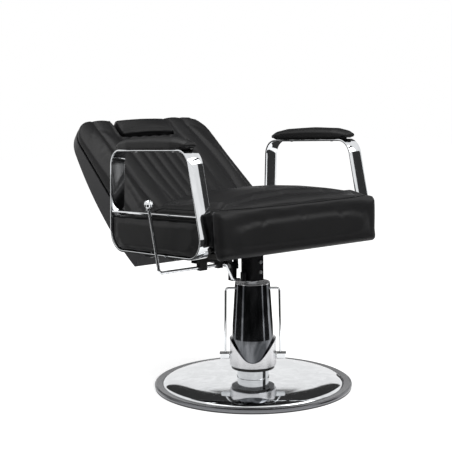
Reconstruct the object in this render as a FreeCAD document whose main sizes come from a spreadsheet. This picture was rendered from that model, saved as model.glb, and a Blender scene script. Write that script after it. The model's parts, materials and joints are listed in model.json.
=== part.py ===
import FreeCAD, Part
import math
import os

import Sketcher
from FreeCAD import Placement, Rotation, Vector

os.makedirs("parts", exist_ok=True)
doc = FreeCAD.newDocument("BarberChair")
sheet = doc.addObject("Spreadsheet::Sheet", "Sizes")

# Driving dimensions in millimetres and degrees. The chair faces -Y, +Z is up, and the
# origin is on the floor at the axis of the pump.
drivers = [
    ("fit", 0.3, "gap between neighbours that do not slide on each other"),
    ("running", 0.05, "radial clearance of a shaft in its bore"),
    ("baseRadius", 300, "outer radius of the floor base"),
    ("rimWidth", 25, "width of the outer ring"),
    ("rimHeight", 14, "height of the outer ring above the floor"),
    ("padHeight", 3, "thickness of the rubber floor pad"),
    ("plateHeight", 8, "thickness of the weight plate inside the base"),
    ("discWall", 2.5, "sheet thickness of the domed disc"),
    ("shoulderWidth", 16, "width of the rounded shoulder of the dome"),
    ("shoulderHeight", 23, "height of the dome at the end of its shoulder"),
    ("hubHeight", 28, "height of the dome at the pump"),
    ("housingRadius", 48, "radius of the pump's foot"),
    ("housingWall", 5, "wall of the pump's foot"),
    ("footFlange", 76, "radius of the flange bolted to the weight plate"),
    ("flangeHeight", 8, "thickness of that flange"),
    ("collarBottom", 66, "height of the collar's floor"),
    ("collarFloor", 4, "thickness of the collar's floor"),
    ("collarRadius", 70.4, "outer radius of the collar"),
    ("collarWall", 4, "wall of the collar"),
    ("collarTop", 150, "height of the collar at its sides"),
    ("scoopBottom", 84, "lowest point of the collar's front edge"),
    ("scoopFlat", 13, "half width of the flat in the collar's front edge"),
    ("ringDrop", 9, "height of the dark ring under the collar"),
    ("coverLow", 65.4, "outer radius of the cover at its lower edge"),
    ("coverMiddle", 63.4, "outer radius of the cover at the collar's top"),
    ("coverTop", 52.8, "outer radius of the cover at its top"),
    ("coverWall", 2.2, "wall of the cover"),
    ("coverHeight", 317, "height of the cover's top edge"),
    ("capHeight", 4, "thickness of the cover's cap"),
    ("barrelRadius", 32, "outer radius of the hydraulic barrel"),
    ("barrelTop", 294, "height of the barrel"),
    ("barrelFloor", 12, "thickness of the barrel's bottom"),
    ("glandHeight", 12, "height of the gland nut"),
    ("ramRadius", 21, "radius of the lifting ram"),
    ("ramBottom", 92, "height of the ram's lower end when the seat is down"),
    ("ramTop", 324, "height of the ram's shoulder when the seat is down"),
    ("neckRadius", 14, "radius of the ram's neck inside the swivel bracket"),
    ("neckLength", 46, "length of that neck"),
    ("washerHeight", 2, "thickness of the swivel washer"),
    ("pumpTurn", -38.65, "turn of the fixed pump about the vertical axis"),
    ("bailOut", 82.5, "distance of the bail's rods from the pump's axis"),
    ("bailHeight", 301, "height of the bail's cross run"),
    ("bailRod", 3.4, "radius of the bail's rods"),
    ("bailBend", 9, "bend radius of the bail's rods"),
    ("bailStroke", 8.3, "travel of the bail when the pedal is pressed"),
    ("yokeInner", 35.5, "inner radius of the bail's yoke"),
    ("yokeOuter", 47, "outer radius of the bail's yoke"),
    ("yokeHeight", 8, "thickness of the bail's yoke"),
    ("blockBottom", 84, "height of the underside of the bail's blocks"),
    ("blockHeight", 16, "height of the bail's blocks"),
    ("blockLength", 27, "length of a bail block away from the pump"),
    ("blockWidth", 18, "width of a bail block"),
    ("blockPlate", 3, "thickness of the dark plate on a bail block"),
    ("linkPin", 5, "radius of the pins between the bail and the pedal"),
    ("forkGap", 34.5, "half gap between the arms of the pedal's fork"),
    ("forkArm", 6, "thickness of an arm of the fork"),
    ("forkHeight", 16, "height of the fork and of the pedal's bar"),
    ("forkPivot", 40, "distance of the pedal's pivot in front of the pump's axis"),
    ("pivotPin", 4, "radius of the pedal's pivot pin"),
    ("pedalSwing", 12, "travel of the pedal in degrees"),
    ("pedalReach", 215, "distance of the pedal's end behind the pump's axis"),
    ("pedalRise", 30, "rise of the pedal's tread above its bar"),
    ("pedalWidth", 96, "width of the pedal's tread"),
    ("pedalTread", 60, "length of the pedal's tread"),
    ("pedalThick", 5, "thickness of the pedal's tread"),
    ("valveHeight", 26, "height of the valve block"),
    ("valveBottom", 140, "height of the valve block's underside"),
    ("plungerRadius", 4, "radius of the pump plunger"),
    ("plungerBarrel", 7.4, "outer radius of the plunger's barrel"),
    ("plungerOut", 41.2, "distance of the plunger from the pump's axis"),
    ("plungerTop", 250, "height of the top of the plunger's barrel"),
    ("seatTilt", 3.17, "tilt of the seat, front edge up"),
    ("seatBottom", 430, "height of the underside of the seat board above the pump's axis"),
    ("bracketWidth", 44, "width of the swivel bracket"),
    ("bracketDepth", 52, "depth of the swivel bracket"),
    ("bracketWall", 6, "wall of the swivel bracket"),
    ("socketWall", 5, "wall of the swivel socket"),
    ("mountPlate", 6, "thickness of the seat plate"),
    ("mountReach", 105, "half size of the seat plate"),
    ("beamDepth", 30, "depth of the cross beams, front to rear"),
    ("beamHeight", 26, "height of the cross beams"),
    ("beamReach", "=boardHalf - 63", "half length across the cross beams"),
    ("boardThick", 15, "thickness of the seat board"),
    ("boardHalf", "=armInner - 6.9", "half width of the seat board"),
    ("boardFront", 204, "distance of the board's front edge before the pump's axis"),
    ("boardRear", 136, "distance of the board's rear edge behind the pump's axis"),
    ("boardCorner", 22, "corner radius of the seat board"),
    ("cushionHalf", "=armInner - 2.4", "half width of the seat cushion between the arms"),
    ("cushionRear", 140, "distance of the cushion's rear behind the pump's axis"),
    ("cushionFront", 238, "distance of the cushion's front before the pump's axis"),
    ("lipHalf", "=armInner + 23.1", "half width of the seat's front roll"),
    ("seamHeight", 136, "height of the seat's seam above the underside of the board"),
    ("crownRise", 32, "rise of the seat's crown above its seam"),
    ("drawIn", 6, "how far the cushions' sides draw in"),
    ("armInner", "=backHalf + 12.9", "distance of an arm loop's inner side from the middle"),
    ("armWidth", 47.5, "width of the arm's flat bar"),
    ("armThick", 6, "thickness of the arm's flat bar"),
    ("armHeight", 305, "height of an arm loop"),
    ("armFrontLow", 195, "distance of the loop's lower front corner before the axis"),
    ("armFrontHigh", 138, "distance of the loop's upper front corner before the axis"),
    ("armRearLow", 284.5, "distance of the loop's lower rear corner behind the axis"),
    ("armRearHigh", 254.6, "distance of the loop's upper rear corner behind the axis"),
    ("armLowRound", 60, "outer radius of the loop's lower corners"),
    ("armHighRound", 52, "outer radius of the loop's upper corners"),
    ("barHeight", 123, "height of the cross bar's top above the loop's underside"),
    ("barThick", 6, "thickness of the cross bar"),
    ("barWidth", 30, "width of the cross bar"),
    ("panelGap", 11, "gap between the cross bar and the side panel"),
    ("padWidth", 64, "width of an arm pad"),
    ("padRise", 33, "height of an arm pad at its middle"),
    ("padFront", 125, "distance of an arm pad's front end before the axis"),
    ("padRear", 229, "distance of an arm pad's rear end behind the axis"),
    ("padBase", 5, "thickness of the arm pad's base strip"),
    ("pivotBack", 185, "distance of the back's hinge behind the pump's axis"),
    ("pivotUp", 40, "height of the back's hinge above the underside of the board"),
    ("reclineAngle", 46.2, "lean of the back at rest"),
    ("hingePin", 8, "radius of the back's hinge pins"),
    ("hingePlate", 5, "thickness of the back's hinge plates"),
    ("plateIn", "=backHalf + 0.5", "distance of a hinge plate's inner face from the middle"),
    ("backHalf", 262, "half width of the back"),
    ("backSplit", 48, "depth of the joint between the back's cushion and its shell"),
    ("backLength", 545, "length of the back above its hinge"),
    ("backDrop", 20, "length of the back below its hinge"),
    ("frontLow", 26, "how far the back's front face lies ahead of the hinge at its foot"),
    ("frontHigh", 15, "how far it lies behind the hinge line at its shoulders"),
    ("rearLow", 110, "depth of the shell at its foot"),
    ("rearMiddle", 124, "depth of the shell at its fullest"),
    ("rearHigh", 84, "depth of the shell at its shoulders"),
    ("shoulderRound", 98, "radius of the back's shoulders"),
    ("shellWall", 5, "wall of the back's shell"),
    ("notchHalf", 105, "half width of the notch for the headrest"),
    ("notchFloor", 454, "height of the notch's floor above the hinge"),
    ("headHalf", 97.5, "half width of the headrest"),
    ("headHeight", 70, "height of the headrest"),
    ("postRadius", 5, "radius of the headrest's posts"),
    ("postOut", 52, "distance of a headrest post from the middle"),
    ("postDepth", 68, "depth of the headrest's posts"),
    ("postLength", 120, "length of the headrest's posts below the headrest"),
    ("frameTube", 9, "half width of the back frame's square tubes"),
    ("frameDepth", 70, "depth of the back frame's tubes"),
    ("frameOut", "=backHalf - 26", "distance of the back frame's side tubes from the middle"),
    ("strutOut", 45, "distance of the recline strut to the sitter's right"),
    ("strutFrontY", 40, "distance of the strut's front pin behind the pump's axis"),
    ("strutFrontZ", 58, "drop of the strut's front pin below the underside of the board"),
    ("strutRearV", 45, "drop of the strut's rear pin below the back's hinge, along the back"),
    ("strutRearT", 70, "depth of the strut's rear pin behind the hinge, across the back"),
    ("strutPin", 5, "radius of the strut's pins"),
    ("strutRod", 5, "radius of the strut's rod"),
    ("strutTube", 11, "radius of the strut's cylinder"),
    ("strutSlack", 4.5, "slack of the open rear pivot"),
    ("strutStart", 28, "distance of the cylinder's front end from the front pin"),
    ("leverRadius", 4.7, "radius of the recline lever's rod"),
    ("leverY", 10, "distance of the lever's turning axis behind the pump's axis"),
    ("leverZ", 384, "height of the lever's turning axis"),
    ("leverBend", 12, "bend radius of the lever's rod"),
    ("leverOut", "=armInner + armWidth + 7.6", "distance of the lever's outer bend from the middle"),
    ("knobOut", 362, "distance of the lever's knob from the middle"),
    ("knobHeight", 200, "height of the knob above the lever's axis"),
    ("knobRadius", 13, "radius of the knob"),
    ("crankOut", 92, "distance of the lever's inner bend from the middle"),
    ("crankDrop", 51, "length of the lever's crank"),
    ("boltRadius", 4, "shank radius of the larger bolts"),
    ("boltHead", 6.5, "head radius of the larger bolts"),
    ("headThick", 5, "head height of the larger bolts"),
]
for row, (alias, value, note) in enumerate(drivers, start=1):
    sheet.set("A%d" % row, note)
    sheet.set("B%d" % row, value if isinstance(value, str) else str(value))
    sheet.setAlias("B%d" % row, alias)
doc.recompute()


class Size:
    """A number together with the sheet expression that gives it."""

    def __init__(self, value, text):
        self.value = value
        self.text = text

    def mix(self, sign, other, swap=False):
        other = asSize(other)
        left, right = (other, self) if swap else (self, other)
        results = {"+": lambda a, b: a + b, "-": lambda a, b: a - b,
                   "*": lambda a, b: a * b, "/": lambda a, b: a / b}
        value = results[sign](left.value, right.value)
        return Size(value, "(%s %s %s)" % (left.text, sign, right.text))

    def __add__(self, other):
        return self.mix("+", other)

    def __radd__(self, other):
        return self.mix("+", other, True)

    def __sub__(self, other):
        return self.mix("-", other)

    def __rsub__(self, other):
        return self.mix("-", other, True)

    def __mul__(self, other):
        return self.mix("*", other)

    def __rmul__(self, other):
        return self.mix("*", other, True)

    def __truediv__(self, other):
        return self.mix("/", other)

    def __neg__(self):
        return self.mix("-", 0, True)


def asSize(number):
    return number if isinstance(number, Size) else Size(float(number), "(%s)" % repr(float(number)))


class SheetNames:
    def __getattr__(self, alias):
        return Size(float(sheet.get(alias)), "Sizes." + alias)


s = SheetNames()
nodes = []


def mm(size):
    return asSize(size).value


def bind(item, prop, size):
    item.setExpression(prop, asSize(size).text)


def move(item, x=0, y=0, z=0, rotation=None):
    if rotation is not None:
        item.Placement = Placement(Vector(), rotation)
    for axis, size in (("x", x), ("y", y), ("z", z)):
        bind(item, "Placement.Base." + axis, size)
    return item


def box(x0, x1, y0, y1, z0, z1):
    item = doc.addObject("Part::Box", "Box")
    for prop, low, high in (("Length", x0, x1), ("Width", y0, y1), ("Height", z0, z1)):
        bind(item, prop, asSize(high) - low)
    return move(item, x0, y0, z0)


alongX = Rotation(Vector(0, 1, 0), 90)
alongY = Rotation(Vector(1, 0, 0), -90)
alongZ = Rotation()


def rod(radius, length, x=0, y=0, z=0, rotation=alongZ):
    item = doc.addObject("Part::Cylinder", "Rod")
    bind(item, "Radius", radius)
    bind(item, "Height", length)
    return move(item, x, y, z, rotation)


def hexHead(radius, length, x=0, y=0, z=0, rotation=alongZ):
    """A hexagon bolt head, its radius measured to the corners."""
    item = doc.addObject("Part::Prism", "Head")
    item.Polygon = 6
    bind(item, "Circumradius", radius)
    bind(item, "Height", length)
    return move(item, x, y, z, rotation)


def sided(near, far, side):
    """The range of X between two distances from the middle, on one side of it."""
    return (near, far) if side > 0 else (-asSize(far), -asSize(near))


def rodAcross(radius, near, far, side, y, z):
    """A rod along X between two distances from the middle, on one side of it."""
    return rod(radius, asSize(far) - near, sided(near, far, side)[0], y, z, alongX)


def cut(base, *tools):
    item = doc.addObject("Part::Cut", "Cut")
    item.Base = base
    item.Tool = tools[0] if len(tools) == 1 else fuse(*tools)
    return item


def fuse(*items):
    item = doc.addObject("Part::MultiFuse", "Joined")
    item.Shapes = list(items)
    item.Refine = True
    return item


def group(*items):
    item = doc.addObject("Part::Compound", "Set")
    item.Links = list(items)
    return item


def tube(outer, inner, z0, z1):
    """An upright ring between two heights, open through its middle."""
    height = asSize(z1) - z0
    return cut(rod(outer, height, z=z0), rod(inner, height + 2, z=asSize(z0) - 1))


def keep(item, name, frame=None):
    """Name a finished sub-part and put it in its place on the chair."""
    item.Label = name
    if frame is not None:
        item.Placement = frame.multiply(item.Placement)
    nodes.append(item)
    return item


def newBody(name):
    return doc.addObject("PartDesign::Body", name)


def sketchOn(body, role, offset=None):
    sketch = body.newObject("Sketcher::SketchObject", body.Name + "Sketch")
    plane = [item for item in body.Origin.OriginFeatures if item.Role == role][0]
    sketch.AttachmentSupport = [(plane, "")]
    sketch.MapMode = "FlatFace"
    if offset is not None:
        bind(sketch, "AttachmentOffset.Base.z", offset)
    return sketch


def outline(sketch, corners):
    """A closed outline: corners of (x, y), or (x, y, bulge) where an arc follows the corner."""
    places = [Vector(mm(corner[0]), mm(corner[1]), 0) for corner in corners]
    count = len(corners)
    starts = []
    for index, corner in enumerate(corners):
        start, end = places[index], places[(index + 1) % count]
        if len(corner) == 3:
            middle = (start + end) / 2
            across = Vector(start.y - end.y, end.x - start.x, 0).normalize() * mm(corner[2])
            first = 2 if mm(corner[2]) > 0 else 1
            ends = (end, start) if first == 2 else (start, end)
            edge = sketch.addGeometry(Part.Arc(ends[0], middle + across, ends[1]), False)
        else:
            edge = sketch.addGeometry(Part.LineSegment(start, end), False)
            first = 1
        starts.append((edge, first))
    for index in range(count):
        edge, first = starts[index]
        following = starts[(index + 1) % count]
        sketch.addConstraint(Sketcher.Constraint("Coincident", edge, 3 - first, *following))
    for index, corner in enumerate(corners):
        edge, first = starts[index]
        for kind, size, place in (("DistanceX", corner[0], places[index].x),
                                  ("DistanceY", corner[1], places[index].y)):
            label = sketch.addConstraint(Sketcher.Constraint(kind, -1, 1, edge, first, place))
            sketch.setExpression("Constraints[%d]" % label, asSize(size).text)
        if len(corner) == 3:
            ahead = corners[(index + 1) % count]
            runX, runY = asSize(ahead[0]) - corner[0], asSize(ahead[1]) - corner[1]
            rise = asSize(corner[2]) if mm(corner[2]) > 0 else -asSize(corner[2])
            radius = (runX * runX + runY * runY) / (rise * 8) + rise / 2
            label = sketch.addConstraint(Sketcher.Constraint("Radius", edge, mm(radius)))
            sketch.setExpression("Constraints[%d]" % label, radius.text)
    return sketch


def revolved(name, corners):
    """A body of revolution about the vertical axis from an outline of (radius, height)."""
    body = newBody(name)
    sketch = outline(sketchOn(body, "XZ_Plane"), corners)
    turn = body.newObject("PartDesign::Revolution", name + "Turn")
    turn.Profile = sketch
    turn.ReferenceAxis = (sketch, ["V_Axis"])
    turn.Angle = 360
    return body


def padded(name, role, corners, start, length):
    """A body with one outline on an origin plane, raised from start over length."""
    body = newBody(name)
    sketch = outline(sketchOn(body, role, start), corners)
    pad = body.newObject("PartDesign::Pad", name + "Pad")
    pad.Profile = sketch
    bind(pad, "Length", length)
    return body


def rounded(body, radius, choose):
    """Round the edges of the body that the test picks."""
    doc.recompute()
    last = body.Tip
    picked = ["Edge%d" % (number + 1) for number, edge in enumerate(last.Shape.Edges) if choose(edge)]
    fillet = body.newObject("PartDesign::Fillet", body.Name + "Round")
    fillet.Base = (last, picked)
    bind(fillet, "Radius", radius)
    body.Tip = fillet
    return body


def alongAxis(edge, axis):
    """True for a straight edge that runs along the given direction."""
    if len(edge.Vertexes) < 2 or edge.Curve.TypeId != "Part::GeomLine":
        return False
    run = edge.Vertexes[1].Point - edge.Vertexes[0].Point
    return abs(run.normalize().dot(axis)) > 0.9999


def bentWire(points, radii):
    """A path of straight runs joined by tangent arcs."""
    edges, start = [], points[0]
    for index in range(1, len(points) - 1):
        corner = points[index]
        back = (points[index - 1] - corner).normalize()
        ahead = (points[index + 1] - corner).normalize()
        half = back.getAngle(ahead) / 2
        reach = radii[index - 1] / math.tan(half)
        bisector = (back + ahead).normalize()
        centre = corner + bisector * (radii[index - 1] / math.sin(half))
        first, last = corner + back * reach, corner + ahead * reach
        edges.append(Part.LineSegment(start, first).toShape())
        edges.append(Part.Arc(first, centre - bisector * radii[index - 1], last).toShape())
        start = last
    edges.append(Part.LineSegment(start, points[-1]).toShape())
    return Part.Wire(edges)


def bentRod(points, radii, radius):
    """A round rod bent along its path."""
    wire = bentWire(points, radii)
    direction = points[1] - points[0]
    section = Part.Wire(Part.Circle(points[0], direction, radius).toShape())
    shell = Part.BRepOffsetAPI.MakePipeShell(wire)
    shell.add(section)
    shell.setTransitionMode(1)
    shell.build()
    shell.makeSolid()
    return shell.shape()


def feature(shape):
    item = doc.addObject("Part::Feature", "Form")
    item.Shape = shape
    return item


# The frames that the sub-parts stand in: the fixed pump is turned about its axis, the seat
# is tilted about the middle of its underside, and the back leans about its hinge.
pumpFrame = Placement(Vector(), Rotation(Vector(0, 0, 1), mm(s.pumpTurn)))
seatFrame = Placement(Vector(0, 0, mm(s.seatBottom)), Rotation(Vector(1, 0, 0), -mm(s.seatTilt)))
backFrame = seatFrame.multiply(
    Placement(Vector(0, mm(s.pivotBack), mm(s.pivotUp)), Rotation(Vector(1, 0, 0), -mm(s.reclineAngle))))


def floorBase():
    inner = s.baseRadius - s.rimWidth
    rimFoot = s.padHeight
    plateTop = s.padHeight + s.plateHeight
    keep(group(rod(s.baseRadius - 2, rimFoot)), "base_pad")
    ring = revolved("RimRing", [
        (inner, rimFoot), (s.baseRadius - 2, rimFoot), (s.baseRadius, s.rimHeight - 6),
        (s.baseRadius - 1.5, s.rimHeight - 2), (s.baseRadius - 6, s.rimHeight), (inner, s.rimHeight - 1)])
    keep(ring, "base_ring")
    holes = [rod(s.boltRadius + 0.2, s.plateHeight + 2, s.footFlange * 0.84 * math.cos(turn),
                 s.footFlange * 0.84 * math.sin(turn), s.padHeight - 1)
             for turn in boltTurns(6)]
    keep(cut(rod(inner - s.fit, s.plateHeight, z=rimFoot), *holes), "base_plate", pumpFrame)
    edge = inner - s.fit * 2
    wall = s.discWall
    shoulder = edge - s.shoulderWidth
    hole = s.housingRadius + s.fit
    disc = revolved("Disc", [
        (edge, plateTop), (edge, plateTop + 2), (edge - 2.5, s.shoulderHeight - 4.5),
        (edge - 7, s.shoulderHeight - 1.6), (shoulder, s.shoulderHeight), (hole, s.hubHeight),
        (hole, s.hubHeight - wall), (shoulder - wall / 2, s.shoulderHeight - wall),
        (edge - 2.5 - wall, s.shoulderHeight - 4.5 - wall), (edge - wall, plateTop)])
    keep(disc, "base_disc")


def boltTurns(count):
    return [math.radians(360 * (index + 0.5) / count) for index in range(count)]


def pumpFoot():
    plateTop = s.padHeight + s.plateHeight
    flangeTop = plateTop + s.flangeHeight
    foot = revolved("Foot", [
        (s.housingRadius - s.housingWall, plateTop), (s.footFlange, plateTop), (s.footFlange, flangeTop),
        (s.housingRadius, flangeTop), (s.housingRadius, s.collarBottom),
        (s.housingRadius - s.housingWall, s.collarBottom)])
    out = s.footFlange * 0.84
    holes = [rod(s.boltRadius + 0.2, s.flangeHeight + 2, out * math.cos(turn), out * math.sin(turn), plateTop - 1)
             for turn in boltTurns(6)]
    keep(cut(foot, *holes), "pump_foot", pumpFrame)
    bolts = []
    for turn in boltTurns(6):
        x, y = out * math.cos(turn), out * math.sin(turn)
        bolts.append(fuse(rod(s.boltRadius, s.plateHeight + s.flangeHeight, x, y, s.padHeight),
                          hexHead(s.boltHead, s.headThick, x, y, flangeTop)))
    keep(group(*bolts), "foot_bolts", pumpFrame)


def slotTools():
    """The tools that open the collar and the cover for the bail's pins and the pedal's bar."""
    low = s.blockBottom + s.blockHeight / 2 - s.bailStroke - s.linkPin - 1
    high = s.blockBottom + s.blockHeight / 2 + s.linkPin + 1
    reach = s.collarRadius + 2
    sides = box(-reach, reach, -(s.linkPin + 1), s.linkPin + 1, low, high)
    rear = box(-(s.forkHeight + 1), s.forkHeight + 1, s.collarRadius / 2, reach, s.collarBottom - 6,
               s.blockBottom + s.blockHeight / 2 + s.forkHeight / 2 + 1.5)
    return sides, rear


def pumpCollar():
    inner = s.collarRadius - s.collarWall
    top = s.collarBottom + s.collarFloor
    collar = revolved("Collar", [
        (s.barrelRadius + 0.3, s.collarBottom), (s.collarRadius - 1.5, s.collarBottom),
        (s.collarRadius, s.collarBottom + 1.5), (s.collarRadius, s.collarTop - 1),
        (s.collarRadius - 1, s.collarTop), (inner, s.collarTop), (inner, top), (s.barrelRadius + 0.3, top)])
    side = s.collarRadius + 1
    scoop = padded("Scoop", "XZ_Plane", [
        (-s.scoopFlat, s.scoopBottom), (s.scoopFlat, s.scoopBottom), (side, s.collarTop + 0.5),
        (side, s.collarTop + 5), (-side, s.collarTop + 5), (-side, s.collarTop + 0.5)], 0, side)
    arms = s.forkGap + s.forkArm + 2
    swing = box(-arms, arms, s.barrelRadius * 0.7, s.collarRadius - s.collarWall - 8, s.collarBottom - 1, top + 1)
    swing = cut(swing, rod(s.barrelRadius + 4, s.collarFloor + 4, z=s.collarBottom - 2))
    keep(cut(collar, scoop, swing, *slotTools()), "pump_collar", pumpFrame)
    ring = tube(s.collarRadius - 5, s.housingRadius + s.fit, s.collarBottom - s.ringDrop, s.collarBottom)
    keep(cut(ring, slotTools()[1]), "collar_ring", pumpFrame)


def pumpCover():
    foot = s.collarBottom + s.collarFloor
    wall = s.coverWall
    shell = revolved("Cover", [
        (s.coverLow - wall, foot), (s.coverLow, foot), (s.coverMiddle, s.collarTop),
        (s.coverTop, s.coverHeight), (s.coverTop - wall, s.coverHeight),
        (s.coverMiddle - wall, s.collarTop)])
    stub = s.bailRod + 1
    gate = box(-s.coverLow, s.coverLow, -stub, stub, s.bailHeight - s.bailStroke - stub, s.bailHeight + stub)
    keep(cut(shell, gate, *slotTools()), "pump_cover", pumpFrame)
    cap = revolved("Cap", [
        (s.ramRadius + 3, s.coverHeight), (s.coverTop + 0.6, s.coverHeight),
        (s.coverTop + 0.6, s.coverHeight + s.capHeight - 1.5), (s.coverTop - 1, s.coverHeight + s.capHeight),
        (s.ramRadius + 3, s.coverHeight + s.capHeight)])
    keep(cap, "cover_cap", pumpFrame)


def pumpInside():
    foot = s.collarBottom + s.collarFloor
    bore = s.ramRadius + s.running
    barrel = revolved("Barrel", [
        (0, s.collarBottom), (s.barrelRadius, s.collarBottom), (s.barrelRadius, foot),
        (s.barrelRadius + 2.5, foot), (s.barrelRadius + 2.5, foot + 5), (s.barrelRadius, foot + 5),
        (s.barrelRadius, s.barrelTop), (bore, s.barrelTop), (bore, foot + s.barrelFloor),
        (0, foot + s.barrelFloor)])
    keep(barrel, "pump_barrel", pumpFrame)
    keep(tube(s.barrelRadius, bore, s.barrelTop, s.barrelTop + s.glandHeight), "gland_nut", pumpFrame)
    ringOut = s.barrelRadius + 5
    valveTop = s.valveBottom + s.valveHeight
    ring = tube(ringOut, s.barrelRadius + s.running, s.valveBottom, valveTop)
    boss = cut(rod(s.plungerBarrel + 2, s.valveHeight, y=s.plungerOut, z=s.valveBottom),
               rod(s.barrelRadius + s.running, s.valveHeight + 2, z=s.valveBottom - 1))
    bore = s.plungerRadius + s.running
    sleeve = rod(s.plungerBarrel, s.plungerTop - valveTop + 1, y=s.plungerOut, z=valveTop - 1)
    well = rod(bore, s.plungerTop - valveTop - 6, y=s.plungerOut, z=valveTop + 7)
    keep(cut(fuse(ring, boss, sleeve), well), "valve_block", pumpFrame)


def liftingRam():
    body = rod(s.ramRadius, s.ramTop - s.ramBottom, z=s.ramBottom)
    neck = rod(s.neckRadius, s.neckLength + 1, z=s.ramTop - 1)
    keep(fuse(body, neck), "ram")


def bail():
    out, top = mm(s.bailOut), mm(s.bailHeight)
    foot = mm(s.blockBottom + s.blockHeight)
    inner = mm(s.yokeOuter) - 4
    rods = [feature(bentRod([Vector(side * (out + 1.5), 0, foot), Vector(side * (out - 1.5), 0, top),
                             Vector(side * inner, 0, top)], [mm(s.bailBend)], mm(s.bailRod)))
            for side in (-1, 1)]
    low = s.bailHeight - s.yokeHeight / 2
    yoke = tube(s.yokeOuter, s.yokeInner, low, low + s.yokeHeight)
    keep(fuse(yoke, *rods), "bail", pumpFrame)
    start = s.plungerTop - 30
    keep(group(rod(s.plungerRadius, low - start, y=s.plungerOut, z=start)), "plunger", pumpFrame)
    blocks, plates = [], []
    near = s.collarRadius + 1.2
    far = near + s.blockLength
    middle, plateLow = s.blockBottom + s.blockHeight / 2, s.blockBottom + s.blockHeight
    half = s.blockWidth / 2
    pinEnd = s.forkGap + 1.5
    for side in (-1, 1):
        block = box(*sided(near, far, side), -half, half, s.blockBottom, plateLow)
        blocks.append(fuse(block, rodAcross(s.linkPin, pinEnd, near + 1, side, 0, middle)))
        plate = box(*sided(near - 0.6, far + 2, side), -half - 1, half + 1, plateLow, plateLow + s.blockPlate)
        hole = rod(s.bailRod + 0.4, s.blockPlate + 2, (s.bailOut + 1.4) * side, 0, plateLow - 1)
        plates.append(cut(plate, hole))
    keep(group(*blocks), "bail_blocks", pumpFrame)
    keep(group(*plates), "block_plates", pumpFrame)


def pedal():
    middle = s.blockBottom + s.blockHeight / 2
    low, high = middle - s.forkHeight / 2, middle + s.forkHeight / 2
    front = -(s.forkPivot + s.pivotPin + 1.8)
    rear = s.forkPivot + s.forkArm
    gap = s.forkGap
    slack = s.linkPin + 0.6
    arms = [box(gap, gap + s.forkArm, front, rear, low, high), box(-gap - s.forkArm, -gap, front, rear, low, high)]
    bridge = box(-gap - 1, gap + 1, rear - 8, rear, low + 3.5, high)
    barEnd = s.pedalReach - s.pedalTread / 2
    bar = box(-s.forkHeight, s.forkHeight, rear - 1, barEnd, low + 3, high - 1)
    post = box(-s.forkHeight, s.forkHeight, barEnd - 10, barEnd, low + 3, high + s.pedalRise)
    slots = box(-gap - s.forkArm - 1, gap + s.forkArm + 1, -(slack + 2.6), slack + 2.6,
                middle - slack, middle + slack)
    pivot = rod(s.pivotPin + s.running, gap * 2 + s.forkArm * 2 + 2, -(gap + s.forkArm + 1), -s.forkPivot,
                middle, alongX)
    keep(cut(fuse(bridge, bar, post, *arms), slots, pivot), "pedal", pumpFrame)
    treadLow = high + s.pedalRise
    half = s.pedalWidth / 2
    tread = padded("Tread", "XY_Plane", [
        (-half, s.pedalReach - s.pedalTread), (half, s.pedalReach - s.pedalTread), (half, s.pedalReach),
        (-half, s.pedalReach)], treadLow, s.pedalThick)
    rounded(tread, 12, lambda edge: alongAxis(edge, Vector(0, 0, 1)))
    keep(tread, "pedal_tread", pumpFrame)
    ears = []
    earLow, earHigh = gap + s.forkArm + 1, gap + s.forkArm + 4
    floor = s.collarBottom + s.collarFloor
    for x0, x1 in ((earLow, earHigh), (-earHigh, -earLow)):
        ears.append(box(x0, x1, -s.forkPivot - 3.6, -s.forkPivot + 7, floor, middle + 8))
    bore = rod(s.pivotPin + s.running, earHigh * 2 + 2, -earHigh - 1, -s.forkPivot, middle, alongX)
    keep(cut(group(*ears), bore), "pedal_ears", pumpFrame)
    keep(group(rod(s.pivotPin, earHigh * 2, -earHigh, -s.forkPivot, middle, alongX)), "pedal_pin", pumpFrame)


def armCorners(inset=0):
    """The four sharp corners of an arm loop's outline, in the tilted frame of the seat."""
    top = s.armHeight
    return [(-s.armFrontLow, 0), (s.armRearLow, 0), (s.armRearHigh, top), (-s.armFrontHigh, top)]


def legLine(height, inset=0):
    """Where the loop's front and rear outer faces stand at a height, moved in by an inset."""
    share = asSize(height) / s.armHeight
    front = -(s.armFrontLow - (s.armFrontLow - s.armFrontHigh) * share) + inset
    rear = s.armRearLow - (s.armRearLow - s.armRearHigh) * share - inset
    return front, rear


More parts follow.
